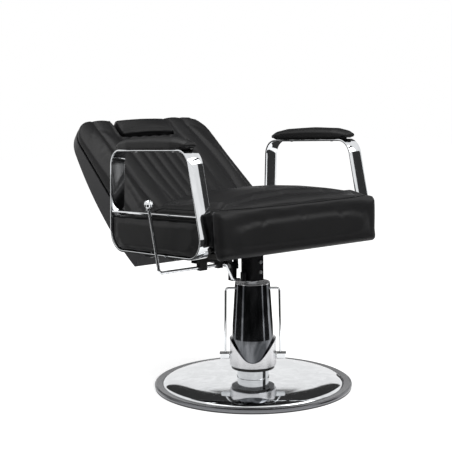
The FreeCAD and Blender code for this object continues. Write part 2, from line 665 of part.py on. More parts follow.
def armLoop(side, name):
    start = s.armInner if side > 0 else -(s.armInner + s.armWidth)
    thick = s.armThick
    slantFront = thick * 1.0173
    slantRear = thick * 1.0048
    high = s.armHeight
    body = newBody("Loop" + name)
    sketch = outline(sketchOn(body, "YZ_Plane", start), armCorners())
    pad = body.newObject("PartDesign::Pad", "LoopPad" + name)
    pad.Profile = sketch
    bind(pad, "Length", s.armWidth)
    doc.recompute()
    across = Vector(1, 0, 0)
    rounded(body, s.armLowRound, lambda edge: alongAxis(edge, across) and edge.CenterOfMass.z < mm(high) / 2)
    rounded(body, s.armHighRound, lambda edge: alongAxis(edge, across) and edge.CenterOfMass.z > mm(high) / 2)
    hole = newBody("Window" + name)
    lowFront, lowRear = legLine(thick)
    highFront, highRear = legLine(high - thick)
    sketch = outline(sketchOn(hole, "YZ_Plane", start - 1), [
        (lowFront + slantFront, thick), (lowRear - slantRear, thick),
        (highRear - slantRear, high - thick), (highFront + slantFront, high - thick)])
    pad = hole.newObject("PartDesign::Pad", "WindowPad" + name)
    pad.Profile = sketch
    bind(pad, "Length", s.armWidth + 2)
    doc.recompute()
    rounded(hole, s.armLowRound - thick, lambda edge: alongAxis(edge, across) and edge.CenterOfMass.z < mm(high) / 2)
    rounded(hole, s.armHighRound - thick, lambda edge: alongAxis(edge, across) and edge.CenterOfMass.z > mm(high) / 2)
    barLow, barHigh = s.barHeight - s.barThick, s.barHeight
    outer = s.armInner + s.armWidth - 1
    barStart = outer - s.barWidth if side > 0 else -outer
    frontLow, rearLow = legLine(barLow, thick / 2)
    frontHigh, rearHigh = legLine(barHigh, thick / 2)
    bar = padded("CrossBar" + name, "YZ_Plane", [
        (frontLow, barLow), (rearLow, barLow), (rearHigh, barHigh), (frontHigh, barHigh)], barStart, s.barWidth)
    holes = [rod(3.2, thick + 2, boltOut() * side, place, -1) for place in strapPlaces]
    screws = [rod(2.2, thick + 2, (s.armInner + s.armWidth / 2) * side, place, high - thick - 1)
              for place in padScrews]
    keep(cut(fuse(cut(body, hole), bar), *holes, *screws), "arm_loop_" + name, seatFrame)


strapPlaces = (-30, 90)
padScrews = (-40, 150)


def boltOut():
    """Distance of the arms' bolts from the middle."""
    return s.armInner + s.armWidth * 0.55


def armFittings(side, name):
    """The padded side panel inside an arm loop, with the socket of the hinge pin."""
    across = Vector(1, 0, 0)
    thick = s.armThick
    outer = s.armInner + s.armWidth
    panelTop = s.barHeight - s.barThick - s.panelGap
    panelIn, panelOut = s.armInner + 0.5, outer - 3
    start = panelIn if side > 0 else -panelOut
    lowFront, lowRear = legLine(thick, thick * 1.03 + s.fit)
    topFront, topRear = legLine(panelTop, thick * 1.03 + s.fit)
    panel = padded("Panel" + name, "YZ_Plane", [
        (lowFront, thick), (lowRear, thick), (topRear, panelTop), (topFront, panelTop)],
        start, panelOut - panelIn)
    rounded(panel, s.armLowRound - thick - s.fit,
            lambda edge: alongAxis(edge, across) and edge.CenterOfMass.z < mm(panelTop) / 2)
    rounded(panel, 8, lambda edge: alongAxis(edge, across) and edge.CenterOfMass.z > mm(panelTop) / 2)
    socket = rodAcross(s.hingePin + s.running, panelIn - 8, outer - 8, side, s.pivotBack, s.pivotUp)
    screwHoles = [rod(3.2, 22, boltOut() * side, place, thick - 1) for place in strapPlaces]
    keep(cut(panel, socket, *screwHoles), "side_panel_" + name, seatFrame)


def armBolting():
    """The straps under both arms and the board, and the bolts through them."""
    thick, strap = s.armThick, 5
    inner = s.boardHalf - 60
    straps, bolts = [], []
    for side in (-1, 1):
        for place in strapPlaces:
            bar = box(*sided(inner, s.armInner + s.armWidth - 9, side), place - 17, place + 17, -strap, 0)
            outs = (boltOut(), inner + 20)
            straps.append(cut(bar, *[rod(3.4, strap + 2, out * side, place, -strap - 1) for out in outs]))
            for out, depth in zip(outs, (thick + 20, s.boardThick * 0.7)):
                bolts.append(fuse(rod(3, depth + strap, out * side, place, -strap),
                                  hexHead(5.5, 4, out * side, place, -strap - 4)))
    keep(group(*straps), "arm_straps", seatFrame)
    keep(group(*bolts), "arm_bolts", seatFrame)


def padBases():
    """The strips under the arm pads, and the screws that hold them on the loops."""
    bases, screws = [], []
    top, thick = s.armHeight, s.armThick
    for side in (-1, 1):
        middle = (s.armInner + s.armWidth / 2) * side
        base = box(*sided(s.armInner + 2, s.armInner + s.armWidth - 2, side), -s.armFrontHigh + s.armHighRound,
                   s.armRearHigh - s.armHighRound, top, top + s.padBase)
        bases.append(cut(base, *[rod(2, s.padBase + 2, middle, place, top - 1) for place in padScrews]))
        for place in padScrews:
            screws.append(fuse(rod(2, thick + s.padBase, middle, place, top - thick),
                               hexHead(4, 2.5, middle, place, top - thick - 2.5)))
    keep(group(*bases), "pad_bases", seatFrame)
    keep(group(*screws), "pad_screws", seatFrame)


def armPad(side, name):
    middle = (s.armInner + s.armWidth / 2) * side
    rise = mm(s.padRise)
    front, rear = -mm(s.padFront), mm(s.padRear)
    half = mm(s.padWidth) / 2
    length = rear - front
    base = mm(s.armHeight + s.padBase)
    sections = []
    for share, wide, high in ((0.0, 0.62, 0.42), (0.05, 0.84, 0.66), (0.16, 1.0, 0.88), (0.45, 1.0, 1.0),
                              (0.80, 1.0, 0.90), (0.94, 0.86, 0.68), (1.0, 0.62, 0.42)):
        sections.append(roundedSection(front + length * share, half * wide, base, base + rise * high * 0.55,
                                       base + rise * high, mm(middle), 3 * wide))
    pad = feature(Part.makeLoft(sections, True, True))
    keep(pad, "arm_pad_" + name, seatFrame)


def roundedSection(y, half, low, seam, crown, middle=0, draw=0):
    """One cross section of a cushion: flat below, drawn-in sides up to the seam, crown above."""
    left, right = middle - half, middle + half
    p = [Vector(left + draw, y, low), Vector(right - draw, y, low), Vector(right, y, seam),
         Vector(left, y, seam)]
    sideRight = Part.Arc(p[1], Vector(right - draw * 0.2, y, (low + seam) / 2), p[2]).toShape()
    quarter = crown - (crown - seam) * 0.28
    top = Vector(middle, y, crown)
    topRight = Part.Arc(p[2], Vector(middle + half * 0.62, y, quarter), top).toShape()
    topLeft = Part.Arc(top, Vector(middle - half * 0.62, y, quarter), p[3]).toShape()
    sideLeft = Part.Arc(p[3], Vector(left + draw * 0.2, y, (low + seam) / 2), p[0]).toShape()
    return Part.Wire([Part.LineSegment(p[0], p[1]).toShape(), sideRight, topRight, topLeft, sideLeft])


def seat():
    board = padded("Board", "XY_Plane", [
        (-s.boardHalf, -s.boardFront), (s.boardHalf, -s.boardFront), (s.boardHalf, s.boardRear),
        (-s.boardHalf, s.boardRear)], 0, s.boardThick)
    rounded(board, s.boardCorner, lambda edge: alongAxis(edge, Vector(0, 0, 1)))
    spread = s.mountReach - 20
    holes = [rod(s.boltRadius + 0.3, s.boardThick + 2, x * spread, y * spread, -1)
             for x in (-1, 1) for y in (-1, 1)]
    screws = [rod(3.2, s.boardThick + 2, (s.boardHalf - 40) * x, place, -1)
              for x in (-1, 1) for place in (-30, 90)]
    keep(cut(board, *holes, *screws), "seat_board", seatFrame)
    low = mm(s.boardThick) + 0.4
    seam = mm(s.seamHeight)
    crown = seam + mm(s.crownRise)
    half = mm(s.cushionHalf)
    draw = mm(s.drawIn)
    rear, front = mm(s.cushionRear), -mm(s.cushionFront)
    boardFront = -mm(s.boardFront)
    places = ((boardFront + 4, 0, -9), (boardFront + 54, 0, -1), (boardFront + 124, 0, 2), (0, 0, 1),
              (rear - 70, 0, -3), (rear - 25, -4, -12), (rear - 6, -14, -26), (rear, -28, -44))
    sections = [roundedSection(y, half, low, seam + drop, crown + dip, 0, draw) for y, drop, dip in places]
    main = Part.makeLoft(sections, True, True)
    lip = mm(s.lipHalf)
    rollRear = -mm(s.armFrontLow) - 2
    sections = [
        roundedSection(rollRear, lip - 2, 0, seam, crown - 9, 0, draw),
        roundedSection(rollRear - 14, lip, 0, seam, crown - 10, 0, draw),
        roundedSection(front + 12, lip - 2, 2, seam - 3, crown - 17, 0, draw),
        roundedSection(front + 3, lip - 9, 8, seam - 12, crown - 30, 0, draw),
        roundedSection(front, lip - 20, 16, seam - 24, crown - 44, 0, draw)]
    roll = Part.makeLoft(sections, True, True)
    boardRoom = Part.makeBox(2 * lip, 40, mm(s.boardThick) + 0.8, Vector(-lip, boardFront - 0.4, -0.4))
    cushion = main.fuse(roll.cut(boardRoom)).removeSplitter()
    keep(feature(solidOf(cushion)), "seat_cushion", seatFrame)


def solidOf(shape):
    return shape.Solids[0] if len(shape.Solids) == 1 else shape


def seatMount():
    reach, thick = s.mountReach, s.mountPlate
    spread = s.mountReach - 20
    places = [(x * spread, y * spread) for x in (-1, 1) for y in (-1, 1)]
    holes = [rod(s.boltRadius + 0.3, thick + 2, x, y, -thick - 1) for x, y in places]
    keep(cut(box(-reach, reach, -reach, reach, -thick, 0), *holes), "seat_plate", seatFrame)
    bolts = [fuse(rod(s.boltRadius, thick + s.boardThick * 0.8, x, y, -thick),
                  hexHead(s.boltHead, s.headThick, x, y, -thick - s.headThick)) for x, y in places]
    keep(group(*bolts), "plate_bolts", seatFrame)
    top = -thick
    low = top - s.beamHeight
    beams = []
    for side in (-1, 1):
        near, far = s.bracketWidth / 2, s.beamReach
        beam = box(*sided(near, far, side), 0, s.beamDepth, low, top)
        hollow = box(*sided(near - 1, far + 1, side), 3, s.beamDepth - 3, low + 3, top - 3)
        beams.append(cut(beam, hollow))
    keep(group(*beams), "cross_beams", seatFrame)


def swivelBracket():
    low = s.ramTop + s.washerHeight
    half, deep, wall = s.bracketWidth / 2, s.bracketDepth / 2, s.bracketWall
    high = s.seatBottom + 10
    shell = cut(box(-half, half, -deep, deep, low, high),
                box(-half + wall, half - wall, -deep + wall, deep - wall, low + wall * 1.5, high + 1))
    socket = rod(s.neckRadius + s.socketWall, s.neckLength - s.washerHeight + 4, z=low)
    boss = rod(10, 26, -half - 8, 4, low)
    room = box(-60, 60, -60, 60, -s.mountPlate, 60)
    room.Placement = seatFrame.multiply(Placement(Vector(-60, -60, -mm(s.mountPlate)), Rotation()))
    for axis in "xyz":
        room.setExpression("Placement.Base." + axis, None)
    bore = rod(s.neckRadius + s.running, s.neckLength + 10, z=low - 1)
    places = ((10, 352), (10, 382))
    holes = [rod(3.2, wall + 2, x, -deep - 1, z, alongY) for x, z in places]
    keep(cut(fuse(shell, socket, boss), bore, room, *holes), "swivel_bracket")
    keep(tube(s.ramRadius + 6, s.neckRadius + s.running, s.ramTop, low), "swivel_washer")
    bolts = [fuse(rod(3, wall * 0.9, x, -deep, z, alongY), hexHead(5.5, 4, x, -deep - 4, z, alongY))
             for x, z in places]
    keep(group(*bolts), "bracket_bolts")


def leverParts():
    y, z = mm(s.leverY), mm(s.leverZ)
    out, crank = -mm(s.leverOut), -mm(s.crankOut)
    knobX, knobZ = -mm(s.knobOut), z + mm(s.knobHeight)
    points = [Vector(knobX, y, knobZ - mm(s.knobRadius) * 0.6), Vector(out, y, z), Vector(crank, y, z),
              Vector(crank + 26, y, z - mm(s.crankDrop)), Vector(crank + 50, y, z - mm(s.crankDrop) - 2)]
    radii = [mm(s.leverBend), mm(s.leverBend), mm(s.leverBend) * 0.8]
    keep(feature(bentRod(points, radii, mm(s.leverRadius))), "recline_lever")
    ballCorners = [(0, -s.knobRadius - 5), (7, -s.knobRadius - 5), (7, -s.knobRadius + 2)]
    for turn in (-36, 0, 36, 64):
        tilt = math.radians(turn)
        ballCorners.append((s.knobRadius * math.cos(tilt), s.knobRadius * math.sin(tilt)))
    ball = revolved("Ball", ballCorners + [(0, s.knobRadius)])
    move(ball, -s.knobOut, s.leverY, s.leverZ + s.knobHeight)
    stem = feature(bentRod([points[0] - (points[1] - points[0]).normalize() * 40,
                            points[0] + (points[1] - points[0]).normalize() * 60], [], mm(s.leverRadius) + 0.02))
    keep(cut(ball, stem), "lever_knob")
    clips = []
    top = -s.mountPlate - s.beamHeight
    for low, high in ((s.beamReach - 38, s.beamReach - 12), (s.crankOut + 18, s.crankOut + 36)):
        block = box(-high, -low, s.leverY - 9, s.leverY + 9, s.leverZ - s.leverRadius - 4, s.leverZ + 30)
        room = box(-300, 300, -60, 60, 0, 60)
        for axis in "xyz":
            room.setExpression("Placement.Base." + axis, None)
        room.Placement = seatFrame.multiply(Placement(Vector(-300, -60, mm(top)), Rotation()))
        bore = rod(s.leverRadius + s.running, high - low + 2, -high - 1, s.leverY, s.leverZ, alongX)
        clips.append(cut(block, room, bore))
    keep(group(*clips), "lever_clips")


def hingeParts():
    """The pins in the side panels that the back turns on, with their spacers and retaining heads."""
    outer = s.armInner + s.armWidth
    low, high = s.plateIn - s.fit, outer - 8
    spacerLow, spacerHigh = s.plateIn + s.hingePlate + s.fit, s.armInner + 0.5
    place = (s.pivotBack, s.pivotUp)
    pins, rings = [], []
    for side in (-1, 1):
        pins.append(fuse(rodAcross(s.hingePin, low, high, side, *place),
                         rodAcross(s.hingePin + 4, low - 4, low, side, *place)))
        rings.append(cut(rodAcross(s.hingePin + 6, spacerLow, spacerHigh, side, *place),
                         rodAcross(s.hingePin + s.running, spacerLow - 1, spacerHigh + 1, side, *place)))
    keep(group(*pins), "hinge_pins", seatFrame)
    keep(group(*rings), "hinge_spacers", seatFrame)


def backFront(v):
    """Depth of the back's front face at a height above the hinge."""
    share = (v + mm(s.backDrop)) / (mm(s.notchFloor) + mm(s.backDrop))
    return -mm(s.frontLow) + (mm(s.frontLow) + mm(s.frontHigh)) * share


seamShares = (-0.69, -0.45, -0.29, -0.145, 0, 0.145, 0.29, 0.45, 0.69)


def backSection(v, half, face, crown, channel, depth):
    """One cross section of the back's cushion: two wings and the sewn channels between them."""
    split = mm(s.backSplit)
    corners = [Vector(-half, face + crown, v)]
    for share in seamShares:
        corners.append(Vector(half * share, face + depth, v))
    corners.append(Vector(half, face + crown, v))
    edges = [Part.LineSegment(Vector(half, split, v), Vector(-half, split, v)).toShape(),
             Part.LineSegment(Vector(-half, split, v), corners[0]).toShape()]
    for index in range(len(corners) - 1):
        start, end = corners[index], corners[index + 1]
        rise = crown if index in (0, len(corners) - 2) else channel
        middle = (start + end) / 2 - Vector(0, rise, 0)
        edges.append(Part.Arc(start, middle, end).toShape())
    edges.append(Part.LineSegment(corners[-1], Vector(half, split, v)).toShape())
    return Part.Wire(edges)


def backCushion():
    top, floor = mm(s.backLength), mm(s.notchFloor)
    drop, half = mm(s.backDrop), mm(s.backHalf) - 1.5
    places = [(-drop + 12, 0.985, 6, 10, 8), (60, 1.0, 0, 12, 8), (220, 1.0, 0, 12, 8), (360, 1.0, 0, 12, 8),
              (floor, 1.0, 0, 12, 8), (top - 34, 1.0, 0, 8, 6), (top - 8, 0.98, 5, 6, 4), (top, 0.96, 13, 4, 3)]
    sections = [backSection(v, half * wide, backFront(v) + lag, crown, 4.0, depth)
                for v, wide, lag, crown, depth in places]
    loft = Part.makeLoft(sections, True, True)
    shoulders = shoulderTool(half, top)
    cushion = loft.common(shoulders)
    notch = mm(s.notchHalf)
    cushion = cushion.cut(Part.makeBox(notch * 2, 300, 200, Vector(-notch, -150, floor)))
    pinRoom = mm(s.hingePin) + 6
    for side in (-1, 1):
        start = mm(s.plateIn) - 7 if side > 0 else -mm(s.plateIn) - 20
        cushion = cushion.cut(Part.makeCylinder(pinRoom, 27, Vector(start, 0, 0), Vector(1, 0, 0)))
    keep(feature(solidOf(cushion.removeSplitter())), "back_cushion", backFrame)


def shoulderTool(half, top):
    """The outline of the back seen from the front, with its rounded shoulders, as a thick plate."""
    radius = mm(s.shoulderRound)
    low = -mm(s.backDrop) - 5
    slope = radius * (1 - math.sqrt(0.5))
    points = [Vector(-half, -200, low), Vector(half, -200, low), Vector(half, -200, top - radius),
              Vector(half - radius, -200, top), Vector(-half + radius, -200, top),
              Vector(-half, -200, top - radius)]
    edges = [Part.LineSegment(points[0], points[1]).toShape(), Part.LineSegment(points[1], points[2]).toShape(),
             Part.Arc(points[2], Vector(half - slope, -200, top - slope), points[3]).toShape(),
             Part.LineSegment(points[3], points[4]).toShape(),
             Part.Arc(points[4], Vector(-half + slope, -200, top - slope), points[5]).toShape(),
             Part.LineSegment(points[5], points[0]).toShape()]
    return Part.Face(Part.Wire(edges)).extrude(Vector(0, 500, 0))


def shellSide(inset):
    """Corners of the shell's side outline as (depth, height), moved in by an inset."""
    split = s.backSplit + s.fit
    return [(split - (1 if mm(inset) > 0 else 0), -s.backDrop + inset), (s.rearLow - inset, -s.backDrop + inset, -6),
            (s.rearMiddle - inset, s.notchFloor * 0.42, -8), (s.rearHigh - inset, s.notchFloor, 0.5),
            (s.rearHigh - s.notchFloor * 0.045 - inset, s.backLength - inset),
            (split - (1 if mm(inset) > 0 else 0), s.backLength - inset)]


plateBolts = (60, 130)


def backShell():
    across = Vector(0, 1, 0)
    outer = padded("ShellOut", "YZ_Plane", shellSide(asSize(0)), -s.backHalf, s.backHalf * 2)
    inner = padded("ShellIn", "YZ_Plane", shellSide(s.shellWall), -s.backHalf + s.shellWall,
                   (s.backHalf - s.shellWall) * 2)
    doc.recompute()
    shell = outer.Shape.common(shoulderTool(mm(s.backHalf), mm(s.backLength)))
    room = inner.Shape.common(shoulderTool(mm(s.backHalf - s.shellWall), mm(s.backLength - s.shellWall)))
    notch, floor, wall = mm(s.notchHalf), mm(s.notchFloor), mm(s.shellWall)
    room = room.cut(Part.makeBox(2 * notch + 2 * wall, 300, 200, Vector(-notch - wall, 0, floor - wall)))
    shell = shell.cut(room).cut(Part.makeBox(2 * notch, 300, 200, Vector(-notch, 0, floor)))
    for side in (-1, 1):
        post = Part.makeCylinder(mm(s.frameTube) + 0.3, wall * 3,
                                 Vector(side * mm(s.postOut), mm(s.postDepth), floor - wall * 2))
        shell = shell.cut(post)
        for v in plateBolts:
            start = mm(s.backHalf) + 1 if side > 0 else -mm(s.backHalf) + wall + 1
            shell = shell.cut(Part.makeCylinder(3.2, wall + 2, Vector(start, mm(s.frameDepth), v), Vector(-1, 0, 0)))
    lug = mm(s.strutOut)
    shell = shell.cut(Part.makeBox(44, 30, 20, Vector(-lug - 22, mm(s.strutRearT) - 15, -mm(s.backDrop) - 5)))
    keep(feature(solidOf(shell.removeSplitter())), "back_shell", backFrame)


def backFrameParts():
    depth, tubeR = s.frameDepth, s.frameTube
    out = s.frameOut
    top = s.notchFloor - s.shellWall - 14
    sides = [box(*sided(out - tubeR, out + tubeR, side), depth - tubeR, depth + tubeR, 8, top) for side in (-1, 1)]
    rails = [box(-out, out, depth - tubeR + 1, depth + tubeR - 1, v - tubeR, v + tubeR) for v in (20, 250)]
    rails.append(box(-out, out, depth - tubeR + 1, depth + tubeR - 1, top - 10 - tubeR, top - 10 + tubeR))
    wide = s.backHalf - s.shellWall - 0.2
    ties = []
    for side in (-1, 1):
        x0, x1 = (out + 4, wide) if side > 0 else (-wide, -out - 4)
        ties.append(box(x0, x1, depth - 12, depth + 12, 48, 142))
    bore = s.postRadius + s.running
    guides = [rod(tubeR, 92, s.postOut * side, s.postDepth, s.notchFloor - 92) for side in (-1, 1)]
    holes = [rod(bore, 124, s.postOut * side, s.postDepth, s.notchFloor - 120) for side in (-1, 1)]
    boltHoles = [rod(2.6, 60, (out - 10) if side > 0 else -(out + 50), depth, v, alongX)
                 for side in (-1, 1) for v in plateBolts]
    lugs = []
    for low in (-s.strutOut - 20, -s.strutOut + 16):
        lugs.append(box(low, low + 4, s.strutRearT - 12, s.strutRearT + 12, -s.strutRearV - 12, 20))
    pinHole = rod(s.strutPin, 60, -s.strutOut - 30, s.strutRearT, -s.strutRearV, alongX)
    frame = cut(fuse(*sides, *rails, *ties, *guides, *lugs), pinHole, *holes, *boltHoles)
    keep(frame, "back_frame", backFrame)
    pin = fuse(rod(s.strutPin, 44, -s.strutOut - 22, s.strutRearT, -s.strutRearV, alongX),
               rod(s.strutPin + 2.5, 3, -s.strutOut - 23, s.strutRearT, -s.strutRearV, alongX),
               rod(s.strutPin + 2.5, 3, -s.strutOut + 20, s.strutRearT, -s.strutRearV, alongX))
    keep(pin, "strut_rear_pin", backFrame)
    plates, bolts = [], []
    plateOut = s.plateIn + s.hingePlate
    for side, name in ((-1, "Right"), (1, "Left")):
        x0 = sided(s.plateIn, plateOut, side)[0]
        plate = padded("HingePlate" + name, "YZ_Plane", [
            (-17, -4), (0, -17, -3), (17, -10), (92, 36), (92, 150), (56, 150), (48, 60), (-10, 16, -4)],
            x0, s.hingePlate)
        bore = rodAcross(s.hingePin + s.running, s.plateIn - 1, plateOut + 1, side, 0, 0)
        holes = [rodAcross(3.2, s.plateIn - 1, plateOut + 1, side, depth, v) for v in plateBolts]
        plates.append(cut(plate, bore, *holes))
        for v in plateBolts:
            bolts.append(fuse(rodAcross(2.5, out + 6, plateOut, side, depth, v),
                              rodAcross(5, plateOut, plateOut + 3, side, depth, v)))
    keep(group(*plates), "hinge_plates", backFrame)
    keep(group(*bolts), "hinge_bolts", backFrame)


def headrest():
    half, floor = mm(s.headHalf), mm(s.notchFloor) + 4
    high = floor + mm(s.headHeight)
    front = mm(s.frontHigh) - 8
    rear = mm(s.rearHigh) - 6
    sections = []
    for v, wide, lag in ((floor, 0.97, 5), (floor + 10, 1.0, 0), (high - 16, 1.0, 0), (high, 0.95, 8)):
        near, far = front + lag, rear - (v - floor) * 0.16 - lag * 0.6
        side = half * wide
        p = [Vector(side, far, v), Vector(-side, far, v), Vector(-side, near + 6, v), Vector(side, near + 6, v)]
        sections.append(Part.Wire([
            Part.LineSegment(p[0], p[1]).toShape(), Part.LineSegment(p[1], p[2]).toShape(),
            Part.Arc(p[2], Vector(0, near, v), p[3]).toShape(), Part.LineSegment(p[3], p[0]).toShape()]))
    pillow = Part.makeLoft(sections, True, True)
    posts = []
    for side in (-1, 1):
        place = Vector(side * mm(s.postOut), mm(s.postDepth), floor - mm(s.postLength))
        posts.append(Part.makeCylinder(mm(s.postRadius), mm(s.postLength) + 20, place))
        pillow = pillow.cut(Part.makeCylinder(mm(s.postRadius) + 0.3, 24, Vector(place.x, place.y, floor - 3)))
    keep(feature(solidOf(pillow)), "headrest_cushion", backFrame)
    keep(feature(Part.makeCompound(posts)), "headrest_posts", backFrame)


def strutPlaces():
    """Front and rear pins of the recline strut, in the tilted frame of the seat."""
    front = Vector(-mm(s.strutOut), mm(s.strutFrontY), -mm(s.strutFrontZ))
    rear = Vector(-mm(s.strutOut), mm(s.strutRearT), -mm(s.strutRearV))
    rear = seatFrame.inverse().multVec(backFrame.multVec(rear))
    return front, rear


def strut():
    front, rear = strutPlaces()
    run = rear - front
    lean = math.degrees(math.atan2(run.z, run.y))
    frame = seatFrame.multiply(Placement(front, Rotation(Vector(1, 0, 0), lean)))
    length = run.Length
    ring = s.strutPin + s.strutSlack
    start, end = s.strutStart, asSize(length) - ring - 8
    pinDrop = -38
    head = box(-8, 8, -9, 12, pinDrop - 8, 9)
    eye = rod(s.strutPin + s.running, 20, -10, 0, 0, alongX)
    valve = rod(3 + s.running, 20, 0, -10, pinDrop, alongY)
    keep(cut(head, eye, valve), "release_head", frame)
    keep(group(rod(3, 19, 0, -21.5, pinDrop, alongY)), "release_pin", frame)
    keep(group(rod(s.strutRod, 100, 0, 12, 0, alongY)), "strut_rod", frame)
    body = rod(s.strutTube, end - start, 0, start, 0, alongY)
    neck = rod(s.strutRod + 1, 12, 0, end - 1, 0, alongY)
    eye = rod(ring + 4, 14, -7, length, 0, alongX)
    holes = [rod(s.strutRod + s.running, 8, 0, start - 1, 0, alongY),
             rod(s.strutTube - 2, end - start - 10, 0, start + 5, 0, alongY), rod(ring, 20, -10, length, 0, alongX)]
    keep(cut(fuse(body, neck, eye), *holes), "strut_cylinder", frame)
    pinR = s.strutPin
    thick = 4
    ears = [box(-s.strutOut + low, -s.strutOut + low + thick, s.strutFrontY - 10, s.strutFrontY + 10,
                -s.strutFrontZ - 10, -s.mountPlate) for low in (-13, 9)]
    bore = rod(pinR, 60, -s.strutOut - 30, s.strutFrontY, -s.strutFrontZ, alongX)
    web = box(-s.strutOut - 13, -s.strutOut + 13, s.strutFrontY - 10, s.strutFrontY + 10,
              -s.mountPlate - 4, -s.mountPlate)
    keep(cut(fuse(web, *ears), bore), "strut_bracket", seatFrame)
    pin = fuse(rod(pinR, 30, -s.strutOut - 15, s.strutFrontY, -s.strutFrontZ, alongX),
               rod(pinR + 2.5, 2.5, -s.strutOut - 15.5, s.strutFrontY, -s.strutFrontZ, alongX),
               rod(pinR + 2.5, 2.5, -s.strutOut + 13, s.strutFrontY, -s.strutFrontZ, alongX))
    keep(pin, "strut_front_pin", seatFrame)


floorBase()
pumpFoot()
pumpCollar()
pumpCover()
pumpInside()
liftingRam()
bail()
pedal()
swivelBracket()
seatMount()
seat()
for side, name in ((-1, "right"), (1, "left")):
    armLoop(side, name)
    armFittings(side, name)
    armPad(side, name)
armBolting()
padBases()
leverParts()
hingeParts()
backCushion()
backShell()
backFrameParts()
headrest()
strut()

doc.recompute()
for item in doc.Objects:
    if "Invalid" in item.State or "Error" in item.State:
        raise RuntimeError("%s (%s) failed: %s" % (item.Name, item.Label, item.State))
for node in nodes:
    if node.Shape.isNull() or not node.Shape.isValid():
        raise RuntimeError("%s has no valid shape" % node.Label)
    node.Shape.exportStep("parts/%s.step" % node.Label)
print("%d sub-parts written" % len(nodes))
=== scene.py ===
import bpy
import bmesh
import json
import math
import numpy as np
from mathutils import Matrix, Vector
from mathutils.bvhtree import BVHTree


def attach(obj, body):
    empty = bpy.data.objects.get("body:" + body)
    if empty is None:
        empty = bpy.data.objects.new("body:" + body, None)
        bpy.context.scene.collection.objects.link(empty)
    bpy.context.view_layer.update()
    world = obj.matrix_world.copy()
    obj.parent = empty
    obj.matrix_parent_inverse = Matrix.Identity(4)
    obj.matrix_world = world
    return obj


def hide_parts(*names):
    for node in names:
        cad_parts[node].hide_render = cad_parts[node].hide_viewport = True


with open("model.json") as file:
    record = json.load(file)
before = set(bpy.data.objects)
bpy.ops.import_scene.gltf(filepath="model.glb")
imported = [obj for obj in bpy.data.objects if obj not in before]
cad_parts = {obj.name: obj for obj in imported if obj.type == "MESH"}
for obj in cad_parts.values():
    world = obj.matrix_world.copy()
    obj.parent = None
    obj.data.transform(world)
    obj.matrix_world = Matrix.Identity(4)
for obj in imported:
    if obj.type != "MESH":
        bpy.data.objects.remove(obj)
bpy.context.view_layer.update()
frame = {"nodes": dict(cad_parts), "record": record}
scene = bpy.context.scene
scene.view_settings.view_transform = "Standard"


# places: the seat is tilted about the pump, the back leans about its hinge
seatFrame = Matrix.Translation((0, 0, 0.430)) @ Matrix.Rotation(math.radians(-3.17), 4, "X")
backFrame = (seatFrame @ Matrix.Translation((0, 0.185, 0.040))
             @ Matrix.Rotation(math.radians(-46.2), 4, "X"))
pumpFrame = Matrix.Rotation(math.radians(-38.65), 4, "Z")


# small helpers
def linearColour(hexColour):
    parts = [int(hexColour[i:i + 2], 16) / 255 for i in (1, 3, 5)]
    return [c / 12.92 if c <= 0.04045 else ((c + 0.055) / 1.055) ** 2.4 for c in parts] + [1.0]


def addNode(tree, kind, inputs=None, **settings):
    node = tree.nodes.new(kind)
    for key, value in settings.items():
        setattr(node, key, value)
    for key, value in (inputs or {}).items():
        if isinstance(value, bpy.types.NodeSocket):
            tree.links.new(value, node.inputs[key])
        else:
            node.inputs[key].default_value = value
    return node


def newMaterial(name, **sockets):
    material = bpy.data.materials.new(name)
    material.use_nodes = True
    tree = material.node_tree
    tree.nodes.clear()
    shader = addNode(tree, "ShaderNodeBsdfPrincipled", sockets)
    output = addNode(tree, "ShaderNodeOutputMaterial")
    tree.links.new(shader.outputs[0], output.inputs[0])
    coords = addNode(tree, "ShaderNodeTexCoord").outputs["Object"]
    return material, tree, shader, coords


def ramp(tree, factor, low, high, lowColour, highColour):
    node = addNode(tree, "ShaderNodeValToRGB", {"Fac": factor})
    node.color_ramp.elements[0].position = low
    node.color_ramp.elements[1].position = high
    node.color_ramp.elements[0].color = lowColour
    node.color_ramp.elements[1].color = highColour
    return node.outputs["Color"]


def spread(tree, factor, low, high):
    return addNode(tree, "ShaderNodeMapRange",
                   {"Value": factor, "To Min": low, "To Max": high}).outputs["Result"]


# noise whose patches are so many millimetres wide
def grainOf(tree, coords, size, detail, **more):
    inputs = {"Vector": coords, "Scale": 1000.0 / size, "Detail": detail}
    inputs.update(more)
    return addNode(tree, "ShaderNodeTexNoise", inputs).outputs["Fac"]


def stretched(tree, coords, scale):
    return addNode(tree, "ShaderNodeMapping", {"Vector": coords, "Scale": scale}).outputs["Vector"]


def shades(tree, shader, factor, low, high, colour, lighter):
    tree.links.new(ramp(tree, factor, low, high, colour, lighter), shader.inputs["Base Color"])


def gloss(tree, shader, factor, low, high):
    tree.links.new(spread(tree, factor, low, high), shader.inputs["Roughness"])


# relief layers in order: height, strength and depth in metres
def relief(tree, shader, *layers):
    below = None
    for height, strength, depth in layers:
        bump = addNode(tree, "ShaderNodeBump", {"Height": height, "Strength": strength, "Distance": depth})
        if below:
            tree.links.new(below.outputs["Normal"], bump.inputs["Normal"])
        below = bump
    tree.links.new(below.outputs["Normal"], shader.inputs["Normal"])


